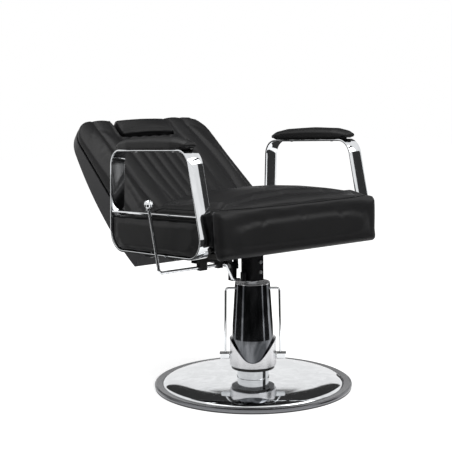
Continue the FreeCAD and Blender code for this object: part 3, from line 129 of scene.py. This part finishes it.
# black upholstery vinyl: pebbled grain, soft stretch folds, slightly uneven sheen
def makeLeatherette(name, colour, lighter, foldDepth):
    material, tree, shader, coords = newMaterial(name, **{"Specular IOR Level": 0.2})
    pebble = addNode(tree, "ShaderNodeTexVoronoi", {"Vector": coords, "Scale": 1000.0 / 1.5},
                     feature="DISTANCE_TO_EDGE").outputs["Distance"]
    fine = grainOf(tree, coords, 0.7, 3.0)
    folds = grainOf(tree, coords, 95, 3.0, Distortion=0.6)
    wear = grainOf(tree, coords, 160, 4.0)
    shades(tree, shader, wear, 0.35, 0.7, linearColour(colour), linearColour(lighter))
    gloss(tree, shader, wear, 0.40, 0.54)
    pores = spread(tree, pebble, 0.0, 1.0)
    relief(tree, shader, (pores, 0.45, 0.0003), (fine, 0.25, 0.0002), (folds, 0.5, foldDepth))
    return material


# polished chrome plate: mirror with faint clouds and handling smudges and a very slight orange peel; with
# colours far apart, as in the dark chrome, the dark colour is a painted dark reflection and the vertically
# stretched clouds are painted light streaks
def makeChrome(name, colour, lighter, low, high, waviness):
    material, tree, shader, coords = newMaterial(name, Metallic=1.0)
    cloudsAndPaintedStreaks = grainOf(tree, stretched(tree, coords, (1, 1, 0.3)), 38, 5.0, Distortion=0.8)
    shades(tree, shader, cloudsAndPaintedStreaks, 0.42, 0.72, linearColour(colour), linearColour(lighter))
    gloss(tree, shader, grainOf(tree, coords, 45, 6.0, Roughness=0.65), low, high)
    relief(tree, shader, (grainOf(tree, coords, 22, 1.0), 0.4, waviness))
    return material


# satin or brushed metal turned about the pump's axis: fine rings along the height or the radius
def makeBrushed(name, colour, low, high, ringStretch):
    material, tree, shader, coords = newMaterial(name, Metallic=1.0)
    lines = grainOf(tree, stretched(tree, coords, ringStretch), 1.2, 4.0)
    dark = [c * 0.86 for c in linearColour(colour)[:3]] + [1.0]
    shades(tree, shader, lines, 0.3, 0.7, dark, linearColour(colour))
    gloss(tree, shader, lines, low, high)
    relief(tree, shader, (lines, 0.3, 0.00005))
    return material


# painted, moulded or cast surfaces: coarse grain in colour, gloss and relief
def makeGrained(name, colour, lighter, low, high, grain, depth, metallic=0.0):
    material, tree, shader, coords = newMaterial(name, **{"Metallic": metallic, "Specular IOR Level": 0.4})
    noise = grainOf(tree, coords, grain, 5.0)
    patches = grainOf(tree, coords, 70, 3.0)
    shades(tree, shader, patches, 0.3, 0.72, linearColour(colour), linearColour(lighter))
    gloss(tree, shader, noise, low, high)
    relief(tree, shader, (noise, 0.5, depth))
    return material


finishes = {
    "black_leatherette": makeLeatherette("blackLeatherette", "#121213", "#171718", 0.0016),
    "polished_chrome": makeChrome("polishedChrome", "#d6d8da", "#e6e8ea", 0.03, 0.09, 0.00006),
    "satin_chrome": makeBrushed("satinChrome", "#dfdfe1", 0.22, 0.32, (1, 1, 9)),
    # dark chrome: the dark colour is a painted dark reflection, the lighter clouds are painted light
    # streaks
    "dark_chrome": makeChrome("darkChromePaintedReflection", "#3f4144", "#85878b", 0.05, 0.16, 0.0003),
    "rim_steel": makeBrushed("rimSteel", "#7c7d80", 0.2, 0.32, (1, 1, 6)),
    "steel": makeBrushed("turnedSteel", "#c4c5c6", 0.22, 0.34, (1, 1, 5)),
    "black_steel": makeGrained("blackPaint", "#0f0f10", "#161618", 0.14, 0.26, 2.0, 0.00005),
    "cast_iron": makeGrained("castIron", "#2b2b2c", "#373738", 0.5, 0.7, 1.6, 0.0003, 0.6),
    "floor_rubber": makeGrained("floorRubber", "#171718", "#1f1f20", 0.6, 0.8, 1.2, 0.0002),
    "black_board": makeGrained("blackBoard", "#1d1c1b", "#262422", 0.55, 0.75, 3.0, 0.0002),
    "black_plastic": makeGrained("blackPlastic", "#17171a", "#1d1d20", 0.42, 0.55, 1.1, 0.00012),
}
# the binding's cover is a little darker than the cushion's: painted shade of the seam's crease
seamShadeMaterial = makeLeatherette("seamBindingPaintedShade", "#0e0e0f", "#131314", 0.0004)

for part in frame["record"]["subparts"]:
    node = frame["nodes"][part["node"]]
    node.data.materials.clear()
    node.data.materials.append(finishes[part["material_slot"]])
print("materials are on the rigid parts")


# making pieces
def newPiece(name, mesh, body, slot, smoothAngle=None):
    piece = bpy.data.objects.new(name, mesh)
    scene.collection.objects.link(piece)
    mesh.materials.clear()
    mesh.materials.append(finishes[slot])
    if smoothAngle is None:
        mesh.polygons.foreach_set("use_smooth", [True] * len(mesh.polygons))
    else:
        mesh.shade_smooth()
        mesh.set_sharp_from_angle(angle=math.radians(smoothAngle))
    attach(piece, body)
    return piece


def evaluated(piece):
    graph = bpy.context.evaluated_depsgraph_get()
    return bpy.data.meshes.new_from_object(piece.evaluated_get(graph))


def places(mesh):
    spots = np.zeros(len(mesh.vertices) * 3)
    mesh.vertices.foreach_get("co", spots)
    return spots.reshape(-1, 3)


def directions(mesh):
    rows = np.zeros(len(mesh.vertices) * 3)
    mesh.vertices.foreach_get("normal", rows)
    return rows.reshape(-1, 3)


def setPlaces(mesh, spots):
    mesh.vertices.foreach_set("co", spots.astype(np.float32).ravel())
    mesh.update()


def toLocal(spots, place):
    turned = np.array(place.inverted())
    return spots @ turned[:3, :3].T + turned[:3, 3]


def fromLocal(spots, place):
    turned = np.array(place)
    return spots @ turned[:3, :3].T + turned[:3, 3]


# a stuffed cover: the plain solid is remeshed, drawn in, blown up as cloth while its resting face is
# held, and then kept within the room that the solid leaves
def softForm(name, node, place, look):
    source = frame["nodes"][node].data.copy()
    form = bmesh.new()
    form.from_mesh(source)
    bmesh.ops.remove_doubles(form, verts=form.verts, dist=0.00005)
    bmesh.ops.recalc_face_normals(form, faces=form.faces)
    form.to_mesh(source)
    cad = BVHTree.FromBMesh(form)
    form.free()
    piece = bpy.data.objects.new(name + "Work", source)
    scene.collection.objects.link(piece)
    remesh = piece.modifiers.new("even", "REMESH")
    remesh.mode = "VOXEL"
    remesh.voxel_size = look["voxel"]
    mesh = evaluated(piece)
    piece.modifiers.clear()
    piece.data = mesh
    soften = bmesh.new()
    soften.from_mesh(mesh)
    for turn in range(look["soften"]):
        bmesh.ops.smooth_vert(soften, verts=soften.verts, factor=0.5,
                              use_axis_x=True, use_axis_y=True, use_axis_z=True)
    soften.to_mesh(mesh)
    soften.free()
    start = places(mesh) - directions(mesh) * look["shrink"]
    setPlaces(mesh, start)
    local = toLocal(start, place)
    clothFrames = 20
    held = piece.vertex_groups.new(name="held")
    under = local[:, look["restAxis"]] * look["restSign"]
    limit = under.min() + look["restDepth"]
    for index in np.nonzero(under < limit)[0]:
        held.add([int(index)], 1.0, "REPLACE")
    cloth = piece.modifiers.new("stuffing", "CLOTH")
    cloth.settings.use_pressure = True
    cloth.settings.uniform_pressure_force = look["pressure"]
    cloth.settings.effector_weights.gravity = 0
    cloth.settings.vertex_group_mass = "held"
    cloth.settings.quality = 5
    cloth.settings.tension_stiffness = look["stiff"]
    cloth.settings.compression_stiffness = look["stiff"]
    cloth.settings.bending_stiffness = 2
    cloth.collision_settings.use_collision = False
    cloth.point_cache.frame_start = 1
    cloth.point_cache.frame_end = clothFrames
    for step in range(1, clothFrames + 1):
        scene.frame_set(step)
    swollen = places(evaluated(piece))
    piece.modifiers.clear()
    outward = directions(mesh)
    moved = swollen - start
    along = np.sum(moved * outward, axis=1)
    rise = np.clip(along, -0.001, look["cap"])
    slide = moved - outward * along[:, None]
    setPlaces(mesh, start + outward * rise[:, None] + slide * 0.25)
    scene.frame_set(1)
    # the resting face lies on the solid's own, the rest stays between its hollow and its room
    spots = places(mesh)
    local = toLocal(spots, place)
    room = look["room"](local * 1000) / 1000
    under = local[:, look["restAxis"]] * look["restSign"]
    resting = np.clip((under.min() + look["restDepth"] * 2.2 - under) / look["restDepth"], 0, 1)
    for index in range(len(spots)):
        spot = Vector(spots[index])
        hit, normal = cad.find_nearest(spot)[:2]
        outside = (spot - hit).dot(normal)
        held = min(max(outside, -look["hollow"]), room[index])
        spots[index] = (hit + normal * held if held != outside else spot).lerp(hit, resting[index])
    setPlaces(mesh, spots)
    refine = piece.modifiers.new("finer", "SUBSURF")
    refine.levels = refine.render_levels = 1
    fine = evaluated(piece)
    bpy.data.objects.remove(piece)
    return fine


def lineDistance(spots, line):
    best = np.full(len(spots), 1e9)
    along = np.zeros(len(spots))
    done = 0.0
    for start, end in zip(line[:-1], line[1:]):
        start, end = np.array(start, float), np.array(end, float)
        run = end - start
        share = np.clip(((spots - start) @ run) / (run @ run), 0, 1)
        gap = np.linalg.norm(spots - (start + share[:, None] * run), axis=1)
        closer = gap < best
        best[closer] = gap[closer]
        along[closer] = done + share[closer] * np.linalg.norm(run)
        done += np.linalg.norm(run)
    return best, along, done


def smoothLine(points, count=60):
    points = np.array(points, float)
    lengths = np.concatenate([[0], np.cumsum(np.linalg.norm(np.diff(points, axis=0), axis=1))])
    wanted = np.linspace(0, lengths[-1], count)
    line = np.stack([np.interp(wanted, lengths, points[:, k]) for k in range(points.shape[1])], 1)
    for turn in range(12):
        line[1:-1] = (line[:-2] + line[1:-1] * 2 + line[2:]) / 4
    return line


def groove(local, line, columns, depth, width, fade=25):
    gap, along, total = lineDistance(local[:, columns], line)
    shape = np.clip(1 - gap / width, 0, 1) ** 2
    ends = np.clip(np.minimum(along, total - along) / fade, 0, 1)
    return depth * shape * (0.15 + 0.85 * ends)


def weltPiece(name, points, radius, body, slot, closed=False):
    curve = bpy.data.curves.new(name, "CURVE")
    curve.dimensions = "3D"
    curve.bevel_depth = radius
    curve.bevel_resolution = 3
    curve.use_fill_caps = True
    spline = curve.splines.new("POLY")
    spline.points.add(len(points) - 1)
    for point, spot in zip(spline.points, points):
        point.co = (*spot, 1)
    spline.use_cyclic_u = closed
    holder = bpy.data.objects.new(name + "Line", curve)
    scene.collection.objects.link(holder)
    mesh = evaluated(holder)
    bpy.data.objects.remove(holder)
    mesh.name = name
    return newPiece(name, mesh, body, slot)


def onSurface(tree, place, start, direction):
    hit = tree.ray_cast(place @ (Vector(start) / 1000), (place.to_3x3() @ Vector(direction)).normalized())
    return hit[0]


def surfaceOf(mesh):
    form = bmesh.new()
    form.from_mesh(mesh)
    tree = BVHTree.FromBMesh(form)
    form.free()
    return tree


def sink(mesh, place, depthOf):
    spots = places(mesh)
    normals = directions(mesh)
    local = toLocal(spots, place) * 1000
    facing = normals @ np.array(place.to_3x3())
    depth = depthOf(local, facing)
    setPlaces(mesh, spots - normals * depth[:, None] / 1000)


# seat cushion: box seat with a crowned top panel and a sewn seam round it
seatLook = {"voxel": 0.006, "soften": 3, "shrink": 0.004, "pressure": 4.0, "stiff": 12, "cap": 0.016,
            "restAxis": 2, "restSign": 1, "restDepth": 0.014, "seamWidth": 9, "seamDepth": 2.6,
            "bindingRadius": 0.0016, "hollow": 0.0025, "seamSide": 133, "seamCorner": 137}


def seatRoom(local):
    free = np.full(len(local), 1.2)
    top = np.clip((local[:, 2] - 120) / 30, 0, 1)
    front = np.clip((-local[:, 1] - 205) / 20, 0, 1)
    return np.maximum(free, np.maximum(top * 7, front * 3))


seatLook["room"] = seatRoom
seatMesh = softForm("seatCushion", "seat_cushion", seatFrame, seatLook)
seatSkin = surfaceOf(seatMesh)
side, corner = seatLook["seamSide"], seatLook["seamCorner"]


def sideSeam(x, y):
    height = side if y < 80 else side - (y - 80) * 0.35
    return onSurface(seatSkin, seatFrame, (x, y, height), (-x, 0, 0))


seam = [sideSeam(-400, y) for y in range(118, -196, -12)]
seam += [onSurface(seatSkin, seatFrame, (-400, y, corner), (1, 0, 0)) for y in (-206, -214, -222)]
seam += [onSurface(seatSkin, seatFrame, (x, -400, corner + 3 * (x / 288) ** 2), (0, 1, 0))
         for x in range(-288, 289, 12)]
seam += [onSurface(seatSkin, seatFrame, (400, y, corner), (-1, 0, 0)) for y in (-222, -214, -206)]
seam += [sideSeam(400, y) for y in range(-192, 119, 12)]
seam = smoothLine([list(p) for p in seam if p is not None], 220)


def seatSink(local, facing):
    line = toLocal(seam, seatFrame) * 1000
    gap = lineDistance(local, line[::3])[0]
    depth = seatLook["seamDepth"] * np.clip(1 - gap / seatLook["seamWidth"], 0, 1) ** 1.5
    # small puckers run beside the seam, except on the flat of the top panel
    ripple = 0.8 * np.sin(local[:, 0] / 21.0 + local[:, 1] / 47.0)
    beside = np.clip(1 - np.abs(gap - 16) / 14, 0, 1)
    return depth + ripple * beside * (facing[:, 2] < 0.8)


sink(seatMesh, seatFrame, seatSink)
seatCushion = newPiece("seatCushion", seatMesh, "seat", "black_leatherette")
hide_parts("seat_cushion")
seatSkin = surfaceOf(seatMesh)
seamLine = []
for spot in seam:
    hit, normal = seatSkin.find_nearest(Vector(spot))[:2]
    seamLine.append(hit + normal * 0.0004)
seatBinding = weltPiece("seatBinding", seamLine, seatLook["bindingRadius"], "seat", "black_leatherette")
# the binding takes the darker cover, painted shade along the seam
seatBinding.data.materials[0] = seamShadeMaterial
print("seat cushion is sewn")


# back cushion: two wings and a panel of channels that run down between them
backLook = {"voxel": 0.006, "soften": 2, "shrink": 0.004, "pressure": 4.0, "stiff": 12, "cap": 0.016,
            "restAxis": 1, "restSign": -1, "restDepth": 0.012, "wingDepth": 4.2, "wingWidth": 22,
            "channelDepth": 2.0, "channelWidth": 16, "pleatDepth": 3.2, "pleatWidth": 9,
            "channels": (-118, -76, -38, 0, 38, 76, 118), "wings": (-180, 180), "hollow": 0.003}


def backRoom(local):
    side = np.clip((np.abs(local[:, 0]) - 245) / 12, 0, 1)
    front = np.clip((30 - local[:, 1]) / 30, 0, 1)
    low = np.clip((60 - local[:, 2]) / 60, 0, 1)
    return 1.0 + (1 - side) * front * (1 - low) * 8


backLook["room"] = backRoom
backMesh = softForm("backCushion", "back_cushion", backFrame, backLook)


def backSink(local, facing):
    onFace = np.clip((facing[:, 1] * -1 - 0.35) / 0.4, 0, 1)
    depth = np.zeros(len(local))
    for x in backLook["wings"]:
        line = smoothLine([(x * 0.97, 530), (x, 460), (x * 1.03, 340), (x * 1.03, 230),
                           (x * 0.94, 120), (x * 0.86, 20)])
        depth = np.maximum(depth, groove(local, line, [0, 2], backLook["wingDepth"], backLook["wingWidth"]))
    for x in backLook["channels"]:
        top = 530 if abs(x) > 100 else 452
        line = smoothLine([(x * 1.02, top), (x * 1.05, 380), (x, 250), (x * 0.84, 120), (x * 0.8, 10)])
        channel = groove(local, line, [0, 2], backLook["channelDepth"], backLook["channelWidth"])
        depth = np.maximum(depth, channel)
        if x:
            line = smoothLine([(x * 0.93, 190), (x * 0.84, 125), (x * 0.8, 70)])
            pleat = groove(local, line, [0, 2], backLook["pleatDepth"], backLook["pleatWidth"], 30)
            depth = np.maximum(depth, pleat)
    return depth * onFace


sink(backMesh, backFrame, backSink)
backCushion = newPiece("backCushion", backMesh, "back", "black_leatherette")
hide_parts("back_cushion")
print("back cushion is sewn")


# headrest pillow
headLook = {"voxel": 0.004, "soften": 2, "shrink": 0.002, "pressure": 4.0, "stiff": 12, "cap": 0.010,
            "restAxis": 1, "restSign": -1, "restDepth": 0.008, "hollow": 0.0015, "widen": 1.055}
headLook["room"] = lambda local: 0.6 + np.clip((30 - local[:, 1]) / 30, 0, 1) * 5
headMesh = softForm("headrestPillow", "headrest_cushion", backFrame, headLook)
# the cover is sewn a little wider than its board and fills the notch
headSpots = toLocal(places(headMesh), backFrame)
setPlaces(headMesh, fromLocal(headSpots * np.array([headLook["widen"], 1, 1]), backFrame))
headrestPillow = newPiece("headrestPillow", headMesh, "headrest", "black_leatherette")
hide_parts("headrest_cushion")


# arm pads and side panels: one of each is made and mirrored
padLook = {"voxel": 0.004, "soften": 2, "shrink": 0.0015, "pressure": 4.0, "stiff": 12, "cap": 0.008,
           "restAxis": 2, "restSign": 1, "restDepth": 0.004, "hollow": 0.0012,
           "barMiddle": 0.29865, "barHalf": 0.0240, "hangTop": 0.320, "hang": 0.0065}
padLook["room"] = lambda local: np.full(len(local), 1.5)
panelLook = {"voxel": 0.005, "soften": 3, "shrink": 0.0025, "pressure": 4.0, "stiff": 20, "cap": 0.007,
             "restAxis": 0, "restSign": -1, "restDepth": 0.010, "hollow": 0.0015}
panelLook["room"] = lambda local: 0.4 + np.clip((-local[:, 0] - 300) / 10, 0, 1) * 2.0


def mirroredCopy(mesh):
    twin = mesh.copy()
    form = bmesh.new()
    form.from_mesh(twin)
    bmesh.ops.scale(form, vec=(-1, 1, 1), verts=form.verts)
    bmesh.ops.recalc_face_normals(form, faces=form.faces)
    form.to_mesh(twin)
    form.free()
    return twin


padMesh = softForm("armPadRight", "arm_pad_right", seatFrame, padLook)
# the cover of a pad is pulled down over both edges of the bar
padSpots = toLocal(places(padMesh), seatFrame)
fromBar = np.abs(padSpots[:, 0] + padLook["barMiddle"]) - padLook["barHalf"]
hang = np.clip(fromBar / 0.002, 0, 1) * np.clip((padLook["hangTop"] - padSpots[:, 2]) / 0.008, 0, 1)
padSpots[:, 2] -= hang * padLook["hang"]
setPlaces(padMesh, fromLocal(padSpots, seatFrame))
panelMesh = softForm("sidePanelRight", "side_panel_right", seatFrame, panelLook)
for name, node, mesh in (("armPadRight", "arm_pad_right", padMesh),
                         ("armPadLeft", "arm_pad_left", mirroredCopy(padMesh)),
                         ("sidePanelRight", "side_panel_right", panelMesh),
                         ("sidePanelLeft", "side_panel_left", mirroredCopy(panelMesh))):
    piece = newPiece(name, mesh, "seat", "black_leatherette")
    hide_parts(node)
print("headrest, arm pads and side panels are stuffed")


# arm loops: bent flat bar with softly rounded edges, and the cross bar between the legs
loopLook = {"inner": 274.9, "width": 47.5, "thick": 6, "height": 305, "frontLow": -195, "rearLow": 284.5,
            "rearHigh": 254.6, "frontHigh": -138, "lowRound": 60, "highRound": 52, "edge": 1.1,
            "barTop": 123, "barThick": 6, "barWidth": 30}


def loopPath(look):
    corners = [Vector((look["frontLow"], 0)), Vector((look["rearLow"], 0)),
               Vector((look["rearHigh"], look["height"])), Vector((look["frontHigh"], look["height"]))]
    rounds = [look["lowRound"], look["lowRound"], look["highRound"], look["highRound"]]
    path = []
    for index, corner in enumerate(corners):
        back = (corners[index - 1] - corner).normalized()
        ahead = (corners[(index + 1) % 4] - corner).normalized()
        half = back.angle(ahead) / 2
        middle = corner + (back + ahead).normalized() * rounds[index] / math.sin(half)
        first = corner + back * rounds[index] / math.tan(half)
        last = corner + ahead * rounds[index] / math.tan(half)
        path.append((first, middle, (first - middle).angle(last - middle), last))
    return path


def makeLoop(name, node, side, look):
    form = bmesh.new()
    x0, x1 = look["inner"] * side, (look["inner"] + look["width"]) * side
    path = loopPath(look)
    first, middle, angle, last = path[0]
    inward = (middle - first).normalized() * look["thick"]
    section = [form.verts.new((x, spot.x, spot.y)) for x, spot in
               ((x0, first), (x1, first), (x1, first + inward), (x0, first + inward))]
    face = form.faces.new(section)
    bmesh.ops.bevel(form, geom=list(face.verts), offset=look["edge"], offset_type="OFFSET", segments=2,
                    profile=0.5, affect="VERTICES", material=-1)
    ring = list(form.edges)
    bmesh.ops.delete(form, geom=list(form.faces), context="FACES_ONLY")
    for index in range(4):
        first, middle, angle, last = path[index]
        spun = bmesh.ops.spin(form, geom=ring, cent=(0, middle.x, middle.y), axis=(1, 0, 0), dvec=(0, 0, 0),
                              angle=angle, steps=20, use_merge=False, use_duplicate=False)
        ring = [item for item in spun["geom_last"] if isinstance(item, bmesh.types.BMEdge)]
        following = path[(index + 1) % 4][0]
        run = following - last
        pushed = bmesh.ops.extrude_edge_only(form, edges=ring)
        newVerts = [item for item in pushed["geom"] if isinstance(item, bmesh.types.BMVert)]
        bmesh.ops.translate(form, vec=(0, run.x, run.y), verts=newVerts)
        ring = [item for item in pushed["geom"] if isinstance(item, bmesh.types.BMEdge)
                and item.verts[0] in newVerts and item.verts[1] in newVerts]
    bmesh.ops.remove_doubles(form, verts=form.verts, dist=0.05)
    bar = bmesh.ops.create_cube(form, size=1)["verts"]
    share = (look["barTop"] - look["barThick"] / 2) / look["height"]
    front = look["frontLow"] + (look["frontHigh"] - look["frontLow"]) * share + look["thick"] / 2
    rear = look["rearLow"] + (look["rearHigh"] - look["rearLow"]) * share - look["thick"] / 2
    outer = look["inner"] + look["width"] - 1
    bmesh.ops.scale(form, vec=(look["barWidth"], rear - front, look["barThick"]), verts=bar)
    bmesh.ops.translate(form, vec=((outer - look["barWidth"] / 2) * side, (front + rear) / 2,
                                   look["barTop"] - look["barThick"] / 2), verts=bar)
    barEdges = list({edge for vert in bar for edge in vert.link_edges})
    bmesh.ops.bevel(form, geom=barEdges, offset=look["edge"], offset_type="OFFSET", segments=2, profile=0.5,
                    affect="EDGES", material=-1)
    bmesh.ops.recalc_face_normals(form, faces=form.faces)
    bmesh.ops.scale(form, vec=(0.001, 0.001, 0.001), verts=form.verts)
    bmesh.ops.transform(form, matrix=seatFrame, verts=form.verts)
    mesh = bpy.data.meshes.new(name)
    form.to_mesh(mesh)
    form.free()
    piece = newPiece(name, mesh, "seat", "polished_chrome", 32)
    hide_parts(node)
    return piece


makeLoop("armLoopRight", "arm_loop_right", -1, loopLook)
makeLoop("armLoopLeft", "arm_loop_left", 1, loopLook)
print("arm loops are bent")


# domed disc of the base, with a rounded shoulder that carries the long reflections
domeLook = {"hole": 48.3, "hub": 28.0, "shoulder": 202.0, "shoulderHeight": 25.4,
            "edge": 274.4, "foot": 11.0, "wall": 2.4, "steps": 160}


def makeDome(look):
    form = bmesh.new()
    profile = [(look["hole"], look["hub"] - look["wall"]), (look["hole"], look["hub"] - 0.6),
               (look["hole"] + 0.6, look["hub"])]
    for share in np.linspace(0.03, 1, 14):
        radius = look["hole"] + (look["shoulder"] - look["hole"]) * share
        height = look["hub"] - (look["hub"] - look["shoulderHeight"]) * share ** 1.7
        profile.append((radius, height))
    for turn in range(10, 91, 10):
        angle = math.radians(turn)
        profile.append((look["shoulder"] + (look["edge"] - look["shoulder"]) * math.sin(angle),
                        look["foot"] + (look["shoulderHeight"] - look["foot"]) * math.cos(angle)))
    verts = [form.verts.new((radius, 0, height)) for radius, height in profile]
    edges = [form.edges.new(pair) for pair in zip(verts[:-1], verts[1:])]
    bmesh.ops.spin(form, geom=verts + edges, cent=(0, 0, 0), axis=(0, 0, 1), dvec=(0, 0, 0),
                   angle=2 * math.pi, steps=look["steps"], use_merge=True, use_duplicate=False)
    bmesh.ops.recalc_face_normals(form, faces=form.faces)
    up = sum(face.normal.z for face in form.faces)
    if up < 0:
        bmesh.ops.reverse_faces(form, faces=form.faces)
    bmesh.ops.scale(form, vec=(0.001, 0.001, 0.001), verts=form.verts)
    mesh = bpy.data.meshes.new("baseDome")
    form.to_mesh(mesh)
    form.free()
    piece = newPiece("baseDome", mesh, "base", "polished_chrome", 50)
    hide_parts("base_disc")
    return piece


makeDome(domeLook)
print("base dome is spun")


# pump collar: turned tube with a bored taper, scooped low at the front
collarLook = {"low": 66, "top": 150, "radius": 70.4, "boreLow": 65.8, "boreTop": 63.9,
              "hub": 32.4, "floor": 4, "edge": 1.2, "scoopLow": 84, "steps": 144,
              # centre and size of each opening: slot of the bail's pins, gate and room of the pedal's fork
              "openings": (((0, 0, 87.85), (160, 12, 20.3)), ((0, 56, 80.8), (34, 40, 41.5)),
                           ((0, 40, 68), (85, 36, 10)))}


def makeCollar(look):
    form = bmesh.new()
    profile = [(look["hub"], look["low"]), (look["radius"] - look["edge"], look["low"]),
               (look["radius"], look["low"] + look["edge"]), (look["radius"], look["top"] - look["edge"]),
               (look["radius"] - look["edge"], look["top"]), (look["boreTop"], look["top"]),
               (look["boreLow"], look["low"] + look["floor"]), (look["hub"], look["low"] + look["floor"])]
    verts = [form.verts.new((radius, 0, height)) for radius, height in profile]
    edges = [form.edges.new((verts[i], verts[(i + 1) % len(verts)])) for i in range(len(verts))]
    bmesh.ops.spin(form, geom=verts + edges, cent=(0, 0, 0), axis=(0, 0, 1), dvec=(0, 0, 0),
                   angle=2 * math.pi, steps=look["steps"], use_merge=True, use_duplicate=False)
    bmesh.ops.recalc_face_normals(form, faces=form.faces)
    mesh = bpy.data.meshes.new("pumpCollar")
    form.to_mesh(mesh)
    form.free()
    scoop = bmesh.new()
    half = [(76, 156), (68, 146), (42, 112), (20, look["scoopLow"] + 2)]
    line = smoothLine([(-x, z) for x, z in half] + [(0, look["scoopLow"] - 1)] + half[::-1], 49)
    face = scoop.faces.new([scoop.verts.new((x, -90, z)) for x, z in line])
    pushed = bmesh.ops.extrude_face_region(scoop, geom=[face])
    far = [item for item in pushed["geom"] if isinstance(item, bmesh.types.BMVert)]
    bmesh.ops.translate(scoop, vec=(0, 90, 0), verts=far)
    bmesh.ops.recalc_face_normals(scoop, faces=scoop.faces)
    for middle, size in look["openings"]:
        block = bmesh.ops.create_cube(scoop, size=1)["verts"]
        bmesh.ops.scale(scoop, vec=size, verts=block)
        bmesh.ops.translate(scoop, vec=middle, verts=block)
    toolMesh = bpy.data.meshes.new("collarTools")
    scoop.to_mesh(toolMesh)
    scoop.free()
    worker = bpy.data.objects.new("collarWork", mesh)
    tool = bpy.data.objects.new("collarTool", toolMesh)
    scene.collection.objects.link(worker)
    scene.collection.objects.link(tool)
    cutter = worker.modifiers.new("openings", "BOOLEAN")
    cutter.operation = "DIFFERENCE"
    cutter.solver = "EXACT"
    cutter.use_self = True
    cutter.object = tool
    done = evaluated(worker)
    for item in (worker, tool):
        bpy.data.objects.remove(item)
    done.transform(pumpFrame @ Matrix.Diagonal((0.001, 0.001, 0.001, 1)))
    piece = newPiece("pumpCollar", done, "base", "satin_chrome", 30)
    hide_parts("pump_collar")
    return piece


makeCollar(collarLook)
print("collar is turned")


# floor, light and camera
def seenBy(tree):
    rays = addNode(tree, "ShaderNodeLightPath").outputs
    seen = rays["Is Camera Ray"]
    for kind in ("Is Glossy Ray", "Is Transmission Ray"):
        seen = addNode(tree, "ShaderNodeMath", {0: seen, 1: rays[kind]}, operation="MAXIMUM").outputs[0]
    return seen


floorMesh = bpy.data.meshes.new("floor")
form = bmesh.new()
bmesh.ops.create_grid(form, x_segments=1, y_segments=1, size=8)
form.to_mesh(floorMesh)
form.free()
floor = bpy.data.objects.new("floor", floorMesh)
scene.collection.objects.link(floor)
floorMaterial = bpy.data.materials.new("paperFloor")
floorMaterial.use_nodes = True
tree = floorMaterial.node_tree
tree.nodes.clear()
lift = addNode(tree, "ShaderNodeMath", {0: seenBy(tree), 1: 0.62}, operation="MULTIPLY").outputs[0]
glow = addNode(tree, "ShaderNodeEmission", {"Color": (1, 1, 1, 1), "Strength": lift}).outputs[0]
matt = addNode(tree, "ShaderNodeBsdfDiffuse", {"Color": (0.84, 0.84, 0.84, 1)}).outputs[0]
both = addNode(tree, "ShaderNodeAddShader", {0: glow, 1: matt}).outputs[0]
tree.links.new(both, addNode(tree, "ShaderNodeOutputMaterial").inputs[0])
floorMesh.materials.append(floorMaterial)

world = bpy.data.worlds.new("studio")
scene.world = world
world.use_nodes = True
tree = world.node_tree
tree.nodes.clear()
strength = spread(tree, seenBy(tree), 0.5, 1.0)
sky = addNode(tree, "ShaderNodeBackground", {"Color": (1, 1, 1, 1), "Strength": strength}).outputs[0]
tree.links.new(sky, addNode(tree, "ShaderNodeOutputWorld").inputs[0])


def softLamp(name, place, aim, width, height, power):
    data = bpy.data.lights.new(name, "AREA")
    data.shape = "RECTANGLE"
    data.size, data.size_y = width, height
    data.energy = power
    lamp = bpy.data.objects.new(name, data)
    lamp.location = place
    lamp.rotation_euler = (Vector(aim) - Vector(place)).to_track_quat("-Z", "Y").to_euler()
    scene.collection.objects.link(lamp)


softLamp("keyLight", (1.4, -2.0, 2.6), (0, 0, 0.5), 1.8, 1.8, 42)
softLamp("topLight", (-0.4, 0.8, 2.8), (0, 0.1, 0.5), 2.0, 1.4, 24)


def darkCard(name, corners):
    mesh = bpy.data.meshes.new(name)
    form = bmesh.new()
    form.faces.new([form.verts.new(corner) for corner in corners])
    form.to_mesh(mesh)
    form.free()
    card = bpy.data.objects.new(name, mesh)
    scene.collection.objects.link(card)
    card.visible_camera = False
    card.visible_diffuse = False
    card.visible_shadow = False
    mesh.materials.append(cardMaterial)


# black felt on the floor, low walls behind it and flags beside the set: only the chrome sees them
cardMaterial = bpy.data.materials.new("darkCard")
cardMaterial.use_nodes = True
cardTree = cardMaterial.node_tree
cardTree.nodes.clear()
cardShade = addNode(cardTree, "ShaderNodeEmission", {"Color": (1, 1, 1, 1), "Strength": 0.04}).outputs[0]
cardTree.links.new(cardShade, addNode(cardTree, "ShaderNodeOutputMaterial").inputs[0])
near, wide, wallTop = 0.85, 2.7, 0.42
for start, end in ((-3, 36), (36, 75), (75, 114), (122, 166),
                   (176, 212), (212, 248), (248, 292), (299, 334)):
    first, last = math.radians(start), math.radians(end)
    low = [(reach * math.cos(turn), reach * math.sin(turn), 0.004)
           for reach, turn in ((near, first), (wide, first), (wide, last), (near, last))]
    darkCard("felt" + str(start), low)
    if start > 110 or start < 30:
        darkCard("wall" + str(start), [low[1], low[2], (*low[2][:2], wallTop), (*low[1][:2], wallTop)])
darkCard("rightFlag", [(1.25, -1.75, 0.1), (2.6, -1.2, 0.1), (2.6, -1.2, 1.5), (1.25, -1.75, 1.5)])
darkCard("farFlag", [(0.3, 3.2, 1.0), (2.9, 1.3, 1.0), (2.3, 0.8, 3.6), (0.0, 2.5, 3.6)])
darkCard("highFlag", [(0.75, -1.45, 1.95), (1.45, -0.75, 1.95), (1.40, -0.70, 2.25), (0.70, -1.40, 2.25)])

cameraData = bpy.data.cameras.new("camera")
cameraData.lens = 91.894
cameraData.sensor_width = 36
camera = bpy.data.objects.new("camera", cameraData)
camera.location = (-2.13326, -2.66781, 0.97760)
camera.rotation_euler = (1.4290141270, 0.0099405591, -0.6531404735)
scene.collection.objects.link(camera)
scene.camera = camera
print("floor, light and camera stand")
